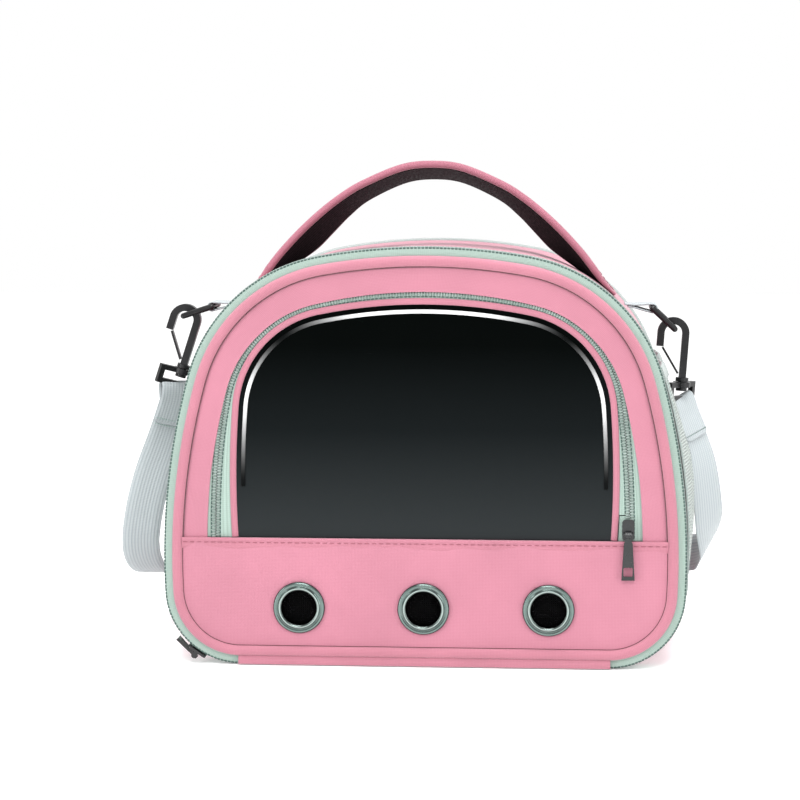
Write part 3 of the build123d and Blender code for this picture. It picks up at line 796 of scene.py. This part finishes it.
def ring_loop(side, sign):
    """Thin webbing sewn to the shoulder and folded round the ring's inner bar."""
    lo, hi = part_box(f"{side}_ring_tab")
    bar_in = 3.48
    half_wide = 12.4
    thick = 1.2
    bar_x = (hi.x if sign > 0 else -lo.x) / MM - bar_in
    bar_z = (lo.z + hi.z) / 2 / MM
    bend = 2.75
    line = [(bar_x - 18.0, bar_z + 2.6), (bar_x - 12.0, bar_z + 2.1), (bar_x - 5.0, bar_z + 2.5)]
    line += [(bar_x + bend * math.sin(a), bar_z + bend * math.cos(a))
             for a in (0.0, 0.6, 1.2, math.pi / 2, 2.0, 2.6, math.pi)]
    line += [(bar_x - 5.0, bar_z - 1.5), (bar_x - 11.0, bar_z + 0.3), (bar_x - 16.0, bar_z + 1.2)]
    points = [Vector((sign * x, 0.0, z)) for x, z in line]
    rings = []
    for p, run in zip(points, runs(points)):
        rings.append(ribbon_section(p, ALONG_Y, run.cross(ALONG_Y).normalized(), half_wide, thick))
    loft(f"{side}_ring_loop", rings, strap_cloth, "bag", False, [f"{side}_ring_tab"])


ring_loop("left", -1)
ring_loop("right", 1)
for opening in ("window", "door"):
    keep_node(f"{opening}_slider", pull_metal, 0.4)
    keep_node(f"{opening}_pull", pull_metal, 0.35)
keep_node("base_board", board_card, 0.5)
keep_node("eyelet_washers", gunmetal, 0.3)

# ---- gusset, base and back ----
def bag_shell():
    """The padded tube between the front zip and the back, with the base as its floor."""
    count = 220
    stations = 25
    outer = []
    inner = []
    for i in range(count):
        s = -BODY.half_length + 2 * BODY.half_length * i / count
        level = part_way(abs(s), FLAT_START - 6.0, FLAT_START + 12.0)
        # The padded sides are thicker than the base, whose cloth lies flat.
        skin = 1.2 * (1 - level) + 0.25 * level
        lining = 5.2 * (1 - level) + 4.0 * level
        x, z, nx, nz = BODY.at(s)
        row_out = []
        row_in = []
        for j in range(stations):
            v = j / (stations - 1)
            y = GUSSET_Y + (BACK_IN_Y - GUSSET_Y) * v
            swell = math.sin(math.pi * v) ** 0.6
            fold = wrinkle(x, y, z, 46.0) * 0.9 + wrinkle(x + 90, y, z, 17.0) * 0.28
            sink = max(-0.2, (0.7 + fold) * swell * (1 - level))
            row_out.append((x - (skin + sink) * nx, y, z - (skin + sink) * nz))
            row_in.append((x - lining * nx, y, z - lining * nz))
        outer.append(row_out)
        inner.append(row_in)
    return shell("bag_shell", outer, inner, pink_cloth, "bag", True,
                 ["gusset", "base_panel"], lining_cloth)


bag_shell()


def rows_between(outline, inset, rows):
    """Level rows across an outline, from the base to near its top."""
    grid = []
    for i in range(rows):
        x, z, _, _ = outline.at(outline.half_length * (1 - i / (rows - 1) * 0.985), inset)
        grid.append([(x * (j / 20 - 1), z) for j in range(41)])
    return grid


def edge_fade(x, z, outline, inset, width):
    """0 at the outline, rising to 1 a width inside it."""
    best = 1e9
    for k in range(0, 61):
        s = outline.half_length * k / 60
        px, pz, _, _ = outline.at(s, inset)
        best = min(best, math.hypot(abs(x) - px, z - pz))
    return math.sin(part_way(best, 0.0, width) * math.pi / 2)


def back_cover():
    """The flat back, crowned a little between its bound edges."""
    front = []
    back = []
    for row in rows_between(BODY, 3.6, 44):
        face = []
        lining = []
        for x, z in row:
            rise = edge_fade(x, z, BODY, 3.6, 34.0)
            fold = wrinkle(x, 7.0, z, 60.0) * 0.8
            face.append((x, BACK_Y - 1.6 + (2.2 + fold) * rise, z))
            lining.append((x, BACK_IN_Y + 0.2, z))
        front.append(face)
        back.append(lining)
    shell("back_cover", front, back, pink_cloth, "bag", False, ["back_panel"], lining_cloth)


back_cover()
roll = rounded([(-0.4, 85.6), (-0.4, 90.4), (4.4, 90.4), (4.4, 85.6)])
band("back_binding", BODY, BODY.half_length, 260, roll, binding_cloth, "bag", True, ["back_piping"])

# ---- zip round the door ----
ZIP_END = FLAT_START + 0.4


def flat_loop(inset0, inset1, y0, y1):
    """A thin rectangular section for tapes."""
    mid = (inset0 + inset1) / 2
    return [(inset0, y0), (mid, y0 - 0.12), (inset1, y0), (inset1, y1), (mid, y1), (inset0, y1)]


def zip_row(name, body, line, pitch, inset, y, half, teeth, replaces=()):
    """Teeth across a zip's tape or stitches along it; line is (outline, start, end)."""
    material = chain_nylon if teeth else green_thread
    beads(name, along_places(*line, pitch, inset, y, teeth), half, material, body, replaces=replaces)


band("gusset_zip_tape_cloth", BODY, ZIP_END, 240, flat_loop(0.35, 1.15, GUSSET_Y - 0.2, -69.9),
     mint_cloth, "bag", False, ["gusset_zip_tape"])
zip_line = (BODY, -ZIP_END + 1, ZIP_END - 1)
zip_row("gusset_zip_teeth", "bag", zip_line, 1.6, 1.15, -82.95, (1.15, 0.62, 0.95), True,
        ["gusset_zip_coil"])
zip_row("gusset_zip_stitches", "bag", zip_line, 2.6, 0.30, -80.6, (1.0, 0.28, 0.35), False)
band("door_zip_tape_cloth", BODY, ZIP_END, 240, flat_loop(0.9, 6.6, TAPE_Y, TAPE_Y + 0.8),
     mint_cloth, "front_door", False, ["door_zip_tape"])
zip_row("door_zip_teeth", "front_door", (BODY, -ZIP_END + 1.8, ZIP_END - 1), 1.6, 1.15, -85.25,
        (1.15, 0.62, 0.95), True, ["door_zip_coil"])
zip_row("door_zip_stitches", "front_door", zip_line, 2.3, 1.0, -87.0, (0.95, 0.62, 0.40), False)

# ---- door ----
roll = rounded([
    (12.6, -86.0), (12.5, -88.2), (12.0, -89.8), (10.8, -90.8), (9.2, -91.1), (7.6, -90.9), (6.3, -90.0),
    (5.7, -88.4), (5.7, -86.3), (6.2, -84.5), (12.2, -84.5),
], 1)
band("door_rolled_edge", BODY, BODY.half_length, 260, roll, pink_edge, "front_door", True, ["door_border"])


def door_upper():
    """The arch of fabric between the window zip and the rolled edge."""
    count = 120
    shares = (0.0, 0.015, 0.05, 0.11, 0.2, 0.3, 0.42, 0.54, 0.66, 0.78, 0.88, 0.95, 1.0)
    low_z = HEM_Z - 7.0
    s_end = BODY.where(low_z, SEAM_INSET)
    front = []
    back = []
    for i in range(count):
        t = 2 * i / (count - 1) - 1
        bx, bz, _, _ = BODY.at(t * s_end, SEAM_INSET)
        s_open = t * OPENING.half_length
        _, high, _, _ = OPENING.at(s_open)
        lap = 2.6 * part_way(high, 120.0, 210.0)
        ox, oz, _, _ = OPENING.at(s_open, lap)
        if abs(t) == 1.0:
            oz = low_z
        width = math.hypot(bx - ox, bz - oz)
        row = []
        under = []
        for v in shares:
            x = ox + (bx - ox) * v
            z = oz + (bz - oz) * v
            swell = math.sin(math.pi * v) ** 0.5
            fold = wrinkle(x, 3.0, z, 38.0) * 0.5
            y = PANEL_Y + 0.7 - (1.3 + fold) * swell * min(1.0, width / 14.0)
            if v < 0.3:
                lift = 1.0 - v / 0.3
                y = y * (1 - lift) + (PANEL_Y - 0.35) * lift
            if v == 0.0:
                y = PANEL_Y + 0.9
            row.append((x, y, z))
            under.append((x, DOOR_BACK_Y, z))
        front.append(row)
        back.append(under)
    shell("door_upper", front, back, pink_cloth, "front_door", False, ["door_panel"],
          lining_cloth)


door_upper()
EYELETS = {"left": -EYELET_PITCH, "centre": 0.0, "right": EYELET_PITCH}


def lower_outline():
    """The lower panel's edge: level hem above, the rolled edge's seam below."""
    s_hem = BODY.where(HEM_Z, SEAM_INSET)
    right = [BODY.at(s, SEAM_INSET)[:2] for s in BODY.spread(s_hem, BODY.half_length, 58)[:-1]]
    left = [(-x, z) for x, z in reversed(right)]
    across = [(-right[0][0] + 2 * right[0][0] * k / 60, HEM_Z) for k in range(1, 60)]
    return right + left + across


def door_lower():
    """The lower panel with its three vent holes, puffed between its seams."""
    rim = lower_outline()
    loops = [rim]
    hole_r = 12.8
    for x0 in EYELETS.values():
        loops.append([(x0 + hole_r * math.cos(a), EYELET_Z + hole_r * math.sin(a)) for a in circle(40)])
    points = []
    edges = []
    for loop_points in loops:
        first = len(points)
        points += loop_points
        n = len(loop_points)
        edges += [(first + k, first + (k + 1) % n) for k in range(n)]
    step = 4.0
    rim_v = [Vector(p) for p in rim]

    side_v = [p for p in rim_v if p.y < HEM_Z - 0.5]

    def gap(x, z, edge):
        here = Vector((x, z))
        return min((here - p).length for p in edge)

    def hole_gap(x, z):
        return min(math.hypot(x - x0, z - EYELET_Z) for x0 in EYELETS.values()) - hole_r

    z = SEAM_INSET + step
    row = 0
    while z < HEM_Z - 1.5:
        x = -150.0 + (step / 2 if row % 2 else 0.0)
        while x < 150.0:
            inside = abs(x) < BODY.at(BODY.where(max(z, 13.0), SEAM_INSET), SEAM_INSET)[0] - 2.0
            if inside and gap(x, z, rim_v) > 2.2 and hole_gap(x, z) > 2.2:
                points.append((x, z))
            x += step
        z += step * 0.9
        row += 1
    flat, _, faces, _, _, _ = delaunay_2d_cdt([Vector(p) for p in points], edges, [], 0, 1e-5)
    verts = []
    keep = []
    for face in faces:
        cx = sum(flat[k].x for k in face) / len(face)
        cz = sum(flat[k].y for k in face) / len(face)
        if hole_gap(cx, cz) > -0.4:
            keep.append(tuple(face))
    for p in flat:
        near_rim = part_way(gap(p.x, p.y, side_v), 0.0, 9.0)
        near_hole = part_way(hole_gap(p.x, p.y), 2.0, 11.0)
        soft = math.sin(near_rim * math.pi / 2) * (0.35 + 0.65 * math.sin(near_hole * math.pi / 2))
        fold = wrinkle(p.x, 5.0, p.y, 34.0) * 0.45 + wrinkle(p.x, 25.0, p.y, 13.0) * 0.12
        verts.append((p.x, LOWER_Y + 0.9 - (1.3 + fold) * soft, p.y))
    count = len(verts)
    back = [(x, LOWER_BACK_Y, z) for x, _, z in verts]
    turned = []
    for face in keep:
        a, b, c = (Vector(verts[k]) for k in face[:3])
        if (b - a).cross(c - a).y > 0:
            face = tuple(reversed(face))
        turned.append(face)
    sides = {side: None for face in turned for side in zip(face, face[1:] + face[:1])}
    walls = [(b, a, a + count, b + count) for a, b in sides if (b, a) not in sides]
    faces = turned + [tuple(k + count for k in reversed(f)) for f in turned] + walls
    uvs = [(x, z) for x, _, z in verts] * 2
    piece("door_lower", verts + back, faces, pink_cloth, "front_door", uvs,
          ["lower_panel"], 60.0, (lining_cloth, set(range(len(turned), 2 * len(turned)))))


door_lower()


def hem_band():
    """The folded top edge of the lower panel with its row of stitches."""
    rows = [(73.0, 0.95), (74.0, 0.5), (75.5, 0.25), (77.2, 0.16), (77.9, 0.34), (78.6, 0.12),
            (79.6, -0.2), (80.4, 0.0), (80.8, 0.5), (80.7, 1.2)]
    cols = 81
    front = []
    back = []
    for z, dip in rows:
        half = BODY.at(BODY.where(z, SEAM_INSET), SEAM_INSET)[0] + 0.3
        row = []
        for c in range(cols):
            x = half * (2 * c / (cols - 1) - 1)
            tuck = part_way(abs(x), half - 14.0, half) * part_way(z, 77.0, 74.0)
            row.append((x, HEM_Y + dip + 0.9 * tuck + 0.12 * wrinkle(c * 2.1, 1.0, z, 6.0), z))
        front.append(row)
        back.append([(half * (2 * c / (cols - 1) - 1), HEM_Y + 2.4, min(z, 80.2)) for c in range(cols)])
    shell("lower_hem", front, back, pink_edge, "front_door", False, ["lower_panel_hem"])
    pitch = 4.4
    places = []
    for k in range(-34, 35):
        centre = Vector((k * pitch, HEM_Y + 0.2, 77.9))
        places.append((centre, ALONG_X, Vector((0.0, 0.0, 1.0)), ALONG_Y))
    beads("hem_stitches", places, (1.5, 0.30, 0.30), seam_thread, "front_door")


hem_band()
# A thin near-black strip along the seam: painted shadow in the crease.
band("door_seam_painted_shadow", BODY, BODY.half_length, 260,
     [(12.0, -88.9), (12.7, -89.0), (12.9, -88.4), (12.4, -88.0), (11.9, -88.3)], seam_painted_shadow,
     "front_door", True)

# ---- eyelets ----
EYELET_PROFILE = [
    (10.6, -83.4), (10.6, -90.2), (10.8, -91.2), (11.4, -91.9), (12.3, -92.2), (13.1, -91.9),
    (13.5, -91.3), (13.9, -91.2), (14.4, -91.5), (15.2, -91.6), (15.9, -91.1), (16.2, -90.4),
    (16.15, -89.6), (15.6, -89.0), (12.4, -88.9), (11.5, -88.5), (11.5, -83.4),
]
for side, x0 in EYELETS.items():
    lathe(f"{side}_vent_ring", EYELET_PROFILE, x0, EYELET_Z, eyelet_plate_painted_light, "front_door",
          [f"{side}_eyelet"])


def vent_net():
    """Dark mesh across the vents, slack between its sewn edges."""
    half = 104.2
    low = 15.8
    tall = 42.4
    front = []
    for j in range(15):
        row = []
        for i in range(91):
            x = half * (2 * i / 90 - 1)
            z = low + tall * j / 14
            slack = math.sin(math.pi * i / 90) * math.sin(math.pi * j / 14)
            y = VENT_NET_Y + 2.4 * slack * (0.5 + wrinkle(x, 1.0, z * 0.5, 11.0))
            row.append((x, max(VENT_NET_Y - 0.2, y), z))
        front.append(row)
    return shell("vent_net", front, backed(front, 0.5), dark_net, "front_door", False, ["vent_mesh"])


vent_net()

# ---- window ----
TEETH_PITCH = 1.75
TEETH_Y = -87.35
SLIDER_TOP_Z = 97.0


def edge_of(outline, t, inset):
    """A point on one of the window's outlines; the chain's swings outwards at its sides."""
    s = t * outline.half_length
    if outline is CHAIN:
        inset -= chain_shift(s)
    x, z, _, _ = outline.at(s, inset)
    return x, z


def tape_between(name, a, inset_a, b, inset_b, body, replaces, right_low=None):
    """A thin tape between two outlines, following both."""
    count = 110
    front = []
    end_right = 1.0
    if right_low:
        end_right = a.where(right_low, inset_a) / a.half_length
    for i in range(count):
        t = -1.0 + (1.0 + end_right) * i / (count - 1)
        ax, az = edge_of(a, t, inset_a)
        bx, bz = edge_of(b, t, inset_b)
        row = []
        for v in (0.0, 0.5, 1.0):
            row.append((ax + (bx - ax) * v, TAPE_Y, max(HEM_Z + 0.45, az + (bz - az) * v)))
        front.append(row)
    return shell(name, front, backed(front, 0.8), mint_cloth, body, False, replaces)


tape_between("window_outer_tape_cloth", CHAIN, -0.6, OPENING, -1.2, "front_door", ["window_outer_tape"])
tape_between("window_inner_tape_cloth", FLAP, -0.1, CHAIN, 0.6, "window_flap", ["window_inner_tape"],
             SLIDER_TOP_Z)
s_end = CHAIN.half_length - 0.8
s_slider = CHAIN.where(SLIDER_TOP_Z)
TOOTH = (1.35, 0.56, 0.75)
STITCH = (1.05, 0.42, 0.35)
outer_line = (CHAIN, -s_end, s_end)
zip_row("window_outer_teeth", "front_door", outer_line, TEETH_PITCH, -1.2, TEETH_Y, TOOTH, True,
        ["window_outer_coil"])
zip_row("window_inner_teeth", "window_flap", (CHAIN, -s_end + TEETH_PITCH / 2, s_slider), TEETH_PITCH, 1.2,
        TEETH_Y, TOOTH, True, ["window_inner_coil"])
zip_row("window_outer_stitches", "front_door", outer_line, 2.6, -2.75, TAPE_Y - 0.15, STITCH, False)
zip_row("window_inner_stitches", "window_flap", (CHAIN, -s_end, s_slider), 2.6, 2.75, TAPE_Y - 0.15, STITCH,
        False)


def chain_end():
    """The closed foot of the zip that stays under the slider."""
    front = []
    for z in (HEM_Z + 0.3, 85.0, 89.0, 93.0, SLIDER_TOP_Z - 0.6):
        s = CHAIN.where(z)
        x_out = CHAIN.at(s, -chain_shift(s))[0]
        x_in = FLAP.at(FLAP.where(z))[0] + 0.5
        front.append([(x_in + (x_out - x_in) * v, TAPE_Y + 0.05, z) for v in (0.0, 0.5, 1.0)])
    shell("window_zip_foot", front, backed(front, 0.7), mint_cloth, "front_door")
    zip_row("window_foot_teeth", "front_door", (CHAIN, s_slider + 1.5, s_end), TEETH_PITCH, 1.2, TEETH_Y,
            TOOTH, True)


chain_end()
roll = rounded([(0.0, -88.3), (4.0, -88.3), (4.2, -85.7), (0.0, -85.7)])
band("window_rolled_edge", FLAP, FLAP.half_length - 0.5, 150, roll,
     pink_edge, "window_flap", False, ["window_border"])
PANE_Y = -87.3


def pane_sheet():
    """Smoked vinyl, bowed a little towards the front."""
    front = []
    for row in rows_between(FLAP, 2.4, 46):
        face = []
        for x, z in row:
            z = max(z, HEM_Z + 0.5)
            rise = edge_fade(x, z, FLAP, 2.4, 60.0) * part_way(z, HEM_Z, HEM_Z + 40.0)
            face.append((x, PANE_Y + 0.2 - 0.9 * rise, z))
        front.append(face)
    shell("pane_sheet", front, backed(front, 0.8), vinyl, "window_flap", False, ["window_pane"])


pane_sheet()
BEAD_INSET = 8.4
bead_loop = []
for a in circle(14):
    bead_loop.append((BEAD_INSET + 1.25 * math.cos(a), PANE_Y - 0.3 + 0.8 * math.sin(a)))
s_bead = FLAP.where(113.0)
# The ridge carries its material's painted highlight.
band("pane_bead", FLAP, s_bead, 140, bead_loop, bead_painted_highlight, "window_flap")

# ---- hinge strip ----
def hinge_fold():
    """The strip of fabric that the door folds on."""
    half = BODY.flat + 1.0
    profile = [(-84.0, 0.35), (-88.6, 0.35), (-89.9, 0.7), (-90.3, 1.8), (-90.2, 3.6), (-89.9, 5.2),
               (-89.2, 6.2), (-88.2, 6.5), (-87.9, 5.2), (-88.8, 3.6), (-88.8, 2.2), (-88.0, 1.5),
               (-84.0, 1.5)]
    rings = []
    for i in range(81):
        x = -half + 2 * half * i / 80
        rings.append([(x, y + 0.25 * wrinkle(x, 2.0, z, 13.0), z) for y, z in profile])
    made = loft("hinge_fold", rings, pink_edge, None, False, ["hinge_strip"])
    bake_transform(made)
    return made


hinge_fold()

# ---- handle ----
NEAR_EDGE = [
    (0.0, -4.5, 314.2), (20.0, -4.8, 311.9), (45.0, -6.5, 301.6), (59.0, -8.0, 293.3), (72.0, -10.0, 283.3),
    (85.0, -12.5, 271.3), (97.5, -15.5, 257.6), (105.0, -18.0, 247.5), (110.5, -19.0, 239.4),
    (115.5, -19.0, 233.6), (119.0, -19.0, 230.2),
]
FAR_EDGE = [
    (0.0, 32.0, 305.5), (20.0, 31.8, 302.8), (44.0, 30.0, 291.5), (57.0, 28.0, 281.0), (67.5, 25.5, 270.0),
    (77.0, 22.5, 260.0), (86.0, 20.0, 253.3), (96.0, 19.0, 246.8), (105.0, 19.0, 241.4),
    (113.0, 19.0, 235.4), (118.0, 19.0, 231.0),
]


def smooth_line(points, steps):
    """A curve through the points (Catmull-Rom), evenly stepped by share."""
    pts = [Vector(p) for p in points]
    pts = [pts[0] * 2 - pts[1]] + pts + [pts[-1] * 2 - pts[-2]]
    out = []
    spans = len(pts) - 3
    for k in range(steps + 1):
        f = spans * k / steps
        i = min(int(f), spans - 1)
        t = f - i
        p0, p1, p2, p3 = pts[i:i + 4]
        out.append(0.5 * ((2 * p1) + (p2 - p0) * t + (2 * p0 - 5 * p1 + 4 * p2 - p3) * t ** 2
                          + (3 * p1 - p0 - 3 * p2 + p3) * t ** 3))
    return out


def whole(points):
    """Mirror a right-hand half line to run from left foot to right foot."""
    full = [(-x, y, z) for x, y, z in reversed(points[1:])] + list(points)
    return smooth_line(full, 150)


def handle_thinning(share):
    """The padding's share of its full thickness, less at the sewn feet."""
    return 1.0 - 0.55 * part_way(abs(2 * share - 1), 0.72, 0.92)


def upward(direction):
    """The unit direction, turned over if it points down."""
    return direction.normalized() * math.copysign(1.0, direction.z)


near = whole(NEAR_EDGE)
far = whole(FAR_EDGE)


def handle_skin(name, section, material, replaces):
    """Loft a (share across, height) loop between the handle's two edges."""
    rings = []
    for i, run in enumerate(runs([a + b for a, b in zip(near, far)])):
        wide = far[i] - near[i]
        up = upward(wide.cross(run))
        thin = handle_thinning(i / (len(near) - 1))
        rings.append([near[i] + wide * w + up * h * thin for w, h in section])
    made = loft(name, rings, material, None, False, replaces, 70.0)
    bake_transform(made)
    return made


cover_section = rounded([
    (0.0, 1.6), (0.08, 2.6), (0.5, 3.2), (0.92, 2.6), (1.0, 1.6), (1.0, -1.8), (0.93, -2.6), (0.88, -1.6),
    (0.5, -1.4), (0.12, -1.6), (0.07, -2.6), (0.0, -1.8),
], 1)
handle_skin("handle_cover_cloth", cover_section, handle_cloth,
            ["handle_cover", "left_handle_leg", "right_handle_leg", "left_handle_patch",
             "right_handle_patch"])
lining_section = [(0.09, -1.5), (0.5, -1.3), (0.91, -1.5), (0.91, -2.7), (0.5, -2.9), (0.09, -2.7)]
handle_skin("handle_lining", lining_section, black_cloth, ["handle_webbing"])


def foot_stitches():
    """A boxed cross of stitches through each foot of the handle."""
    last = len(near) - 1
    pitch = 3.3

    def spot(station, w, mirror):
        k = last - station if mirror else station
        k0 = min(int(k), last - 1)
        a = near[k0].lerp(near[k0 + 1], k - k0)
        b = far[k0].lerp(far[k0 + 1], k - k0)
        up = upward((b - a).cross(near[k0 + 1] - near[k0]))
        rise = handle_thinning(k / last) * (2.6 + 0.5 * math.sin(math.pi * w)) + 0.12
        return a + (b - a) * w + up * rise, up

    # Corners of the box: (station down the handle, share across it).
    corners = [(131.0, 0.16), (131.0, 0.84), (146.0, 0.84), (146.0, 0.16)]
    seams = list(zip(corners, corners[1:] + corners[:1]))
    seams += [(corners[0], corners[2]), (corners[1], corners[3])]
    places = []
    for mirror in (False, True):
        for (i0, w0), (i1, w1) in seams:
            reach = (spot(i1, w1, mirror)[0] - spot(i0, w0, mirror)[0]).length
            count = round(reach / pitch)
            for k in range(count):
                ends = []
                for at in ((k + 0.15) / count, (k + 0.85) / count):
                    ends.append(spot(i0 + (i1 - i0) * at, w0 + (w1 - w0) * at, mirror))
                (start, up), (end, _) = ends
                along = (end - start).normalized()
                places.append(((start + end) / 2, along, up.cross(along).normalized(), up))
    beads("handle_foot_stitches", places, (1.15, 0.28, 0.28), seam_thread, "bag")


foot_stitches()

# ---- mesh pockets ----
POCKET_LOW = 42.0
POCKET_TOP = 188.0
POCKET_FRONT = -69.0
POCKET_BACK = 76.0
ELASTIC_TALL = 8.0


def pocket_out(y, z):
    """How far the pocket stands off the side, pressed flat behind the hook."""
    up = (z - POCKET_LOW) / (POCKET_TOP - POCKET_LOW)
    v = (y - POCKET_FRONT) / (POCKET_BACK - POCKET_FRONT)
    belly = max(0.0, math.sin(math.pi * min(1.0, up * 0.86 + 0.06))) ** 0.9
    plan = max(0.0, math.sin(math.pi * v)) ** 0.75
    press = math.exp(-((y / 26.0) ** 4)) * part_way(z, 132.0, 166.0)
    return 0.9 + 9.4 * belly * plan * (1 - 0.94 * press)


def pocket(side, sign):
    """The netting of a side pocket and the gathered elastic along its mouth."""
    front = []
    back = []
    for j in range(46):
        z = POCKET_LOW + (POCKET_TOP - ELASTIC_TALL - POCKET_LOW) * j / 45
        row = []
        for i in range(61):
            y = POCKET_FRONT + (POCKET_BACK - POCKET_FRONT) * i / 60
            out = pocket_out(y, z) + 0.5 * wrinkle(y, sign * 3.0, z * 0.45, 9.0)
            row.append((sign * (side_x(z) - 1.0 + max(0.55, out)), y, z))
        front.append(row if sign > 0 else row[::-1])
        back.append([(x - sign * 0.45, y, z) for x, y, z in front[-1]])
    net = shell(f"{side}_pocket_net", front, back, pale_net, "bag", False, [f"{side}_pocket"])
    rings = []
    for i in range(97):
        y = POCKET_FRONT + (POCKET_BACK - POCKET_FRONT) * i / 96
        gather = 0.45 * math.sin(y * 1.9) + 0.3 * math.sin(y * 0.83)
        ring = []
        for z, d in ((179.0, 0.2), (180.0, 0.9), (184.0, 1.1), (187.6, 0.9), (188.4, 0.2), (187.6, -0.5),
                     (184.0, -0.6), (180.0, -0.5)):
            out = max(0.75, pocket_out(y, min(z, 186.0)) + gather) + d
            ring.append((sign * (side_x(z) - 1.0 + out), y, z + 0.4 * math.sin(y * 0.31)))
        rings.append(ring)
    loft(f"{side}_pocket_elastic", rings, binding_cloth, "bag", False,
         [f"{side}_pocket_hem"], 70.0)
    return net


def pocket_binding(side, sign):
    """Tape sewn down round the pocket's two upright edges and its foot."""
    inset = 3.2
    turn = 8.0
    y0 = POCKET_FRONT + inset
    y1 = POCKET_BACK - inset
    z0 = POCKET_LOW + inset
    rise = POCKET_TOP - 7.0 - z0 - turn
    bend = [math.pi / 2 * k / 6 for k in range(7)]
    line = [(y0, z0 + turn + rise * k / 24) for k in range(24, 0, -1)]
    line += [(y0 + turn - turn * math.cos(a), z0 + turn - turn * math.sin(a)) for a in bend]
    line += [(y0 + turn + (y1 - y0 - 2 * turn) * k / 26, z0) for k in range(1, 26)]
    line += [(y1 - turn + turn * math.sin(a), z0 + turn - turn * math.cos(a)) for a in bend]
    line += [(y1, z0 + turn + rise * k / 24) for k in range(1, 25)]
    out = Vector((sign, 0.0, 0.0))
    points = [Vector((sign * (side_x(z) - 1.0 + max(0.75, pocket_out(y, z))), y, z)) for y, z in line]
    rings = []
    places = []
    for p, run in zip(points, runs(points)):
        wide = run.cross(out).normalized()
        rings.append(ribbon_section(p + out * 0.5, wide, wide.cross(run).normalized() * sign, 3.0, 1.1))
        places.append((p + out * 1.05, run, wide, out))
    loft(f"{side}_pocket_binding", rings, binding_cloth, "bag")
    beads(f"{side}_pocket_stitches", places[1:-1], (1.5, 0.3, 0.3), strap_thread, "bag")


for side, sign in (("left", -1), ("right", 1)):
    pocket_binding(side, sign)
    pocket(side, sign)

# ---- floor pad ----
def floor_cushion():
    """A soft pad with a crowned top and drawn-in sides."""
    lo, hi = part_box("floor_pad")
    x1 = hi.x / MM - 0.5
    y0 = lo.y / MM + 0.5
    y1 = hi.y / MM - 0.5
    z0 = lo.z / MM
    z1 = hi.z / MM
    mid_y = (y0 + y1) / 2
    half_y = (y1 - y0) / 2
    squareness = 0.28
    verts = []
    levels = [(0.72, z0), (0.97, z0 + 0.6), (1.0, z0 + 4.0), (0.99, z0 + 8.0), (0.95, z1 - 2.0),
              (0.88, z1 - 0.8), (0.72, z1 - 0.1), (0.45, z1), (0.15, z1)]
    for share, z in levels:
        for a in circle(96):
            c = math.cos(a)
            s = math.sin(a)
            x = x1 * math.copysign(abs(c) ** squareness, c) * share
            y = half_y * math.copysign(abs(s) ** squareness, s) * share
            pull = 1.2 * (1 - abs(wrinkle(x, y, z, 50.0)))
            soft = 0.4 * wrinkle(x, y, 3.0, 22.0) if z > z0 + 3.0 else 0.0
            verts.append((x - math.copysign(pull * abs(c) ** 4, x), mid_y + y, min(z1, z + soft)))
    faces = capped(len(levels), 96)
    made = piece("floor_cushion", verts, faces, fleece, "pad", None, ["floor_pad"], 70.0)


floor_cushion()

# ---- floor, backdrop and light ----
def studio():
    paper = Shader("studio_paper", (0.90, 0.90, 0.90), Roughness=0.9, Emission_Strength=0.22)
    paper.bsdf.inputs["Emission Color"].default_value = (1.0, 1.0, 1.0, 1.0)
    mesh = bpy.data.meshes.new("studio_floor")
    half = 4.5
    corners = [(-half, -half, 0), (half, -half, 0), (half, half, 0), (-half, half, 0)]
    mesh.from_pydata(corners, [], [(0, 1, 2, 3)])
    mesh.materials.append(paper.material)
    floor = bpy.data.objects.new("studio_floor", mesh)
    floor.location.z = -0.0003
    bpy.context.collection.objects.link(floor)
    world = bpy.data.worlds.new("studio")
    bpy.context.scene.world = world
    world.use_nodes = True
    background = world.node_tree.nodes["Background"]
    background.inputs["Color"].default_value = (1.0, 1.0, 1.0, 1.0)
    background.inputs["Strength"].default_value = 1.0
    # Each lamp: its name, place, aim, width, height and watts.
    lamps = (
        ("top", (0.1, -0.20, 1.30), (0.0, 0.0, 0.15), 1.2, 0.5, 20.0),
        ("left", (-1.15, -0.85, 0.50), (0.0, 0.0, 0.14), 0.30, 1.0, 8.0),
        ("right", (1.20, -0.80, 0.50), (0.0, 0.0, 0.14), 0.30, 1.0, 6.0),
        ("front", (0.1, -2.1, 1.7), (0.0, 0.0, 0.12), 1.0, 0.6, 30.0),
    )
    for name, place, aim, wide, tall, watts in lamps:
        data = bpy.data.lights.new("lamp_" + name, "AREA")
        data.shape = "RECTANGLE"
        data.size = wide
        data.size_y = tall
        data.energy = watts
        lamp = bpy.data.objects.new("lamp_" + name, data)
        lamp.location = place
        lamp.rotation_euler = facing(place, aim)
        bpy.context.collection.objects.link(lamp)
    bpy.context.scene.view_settings.view_transform = "Standard"


studio()
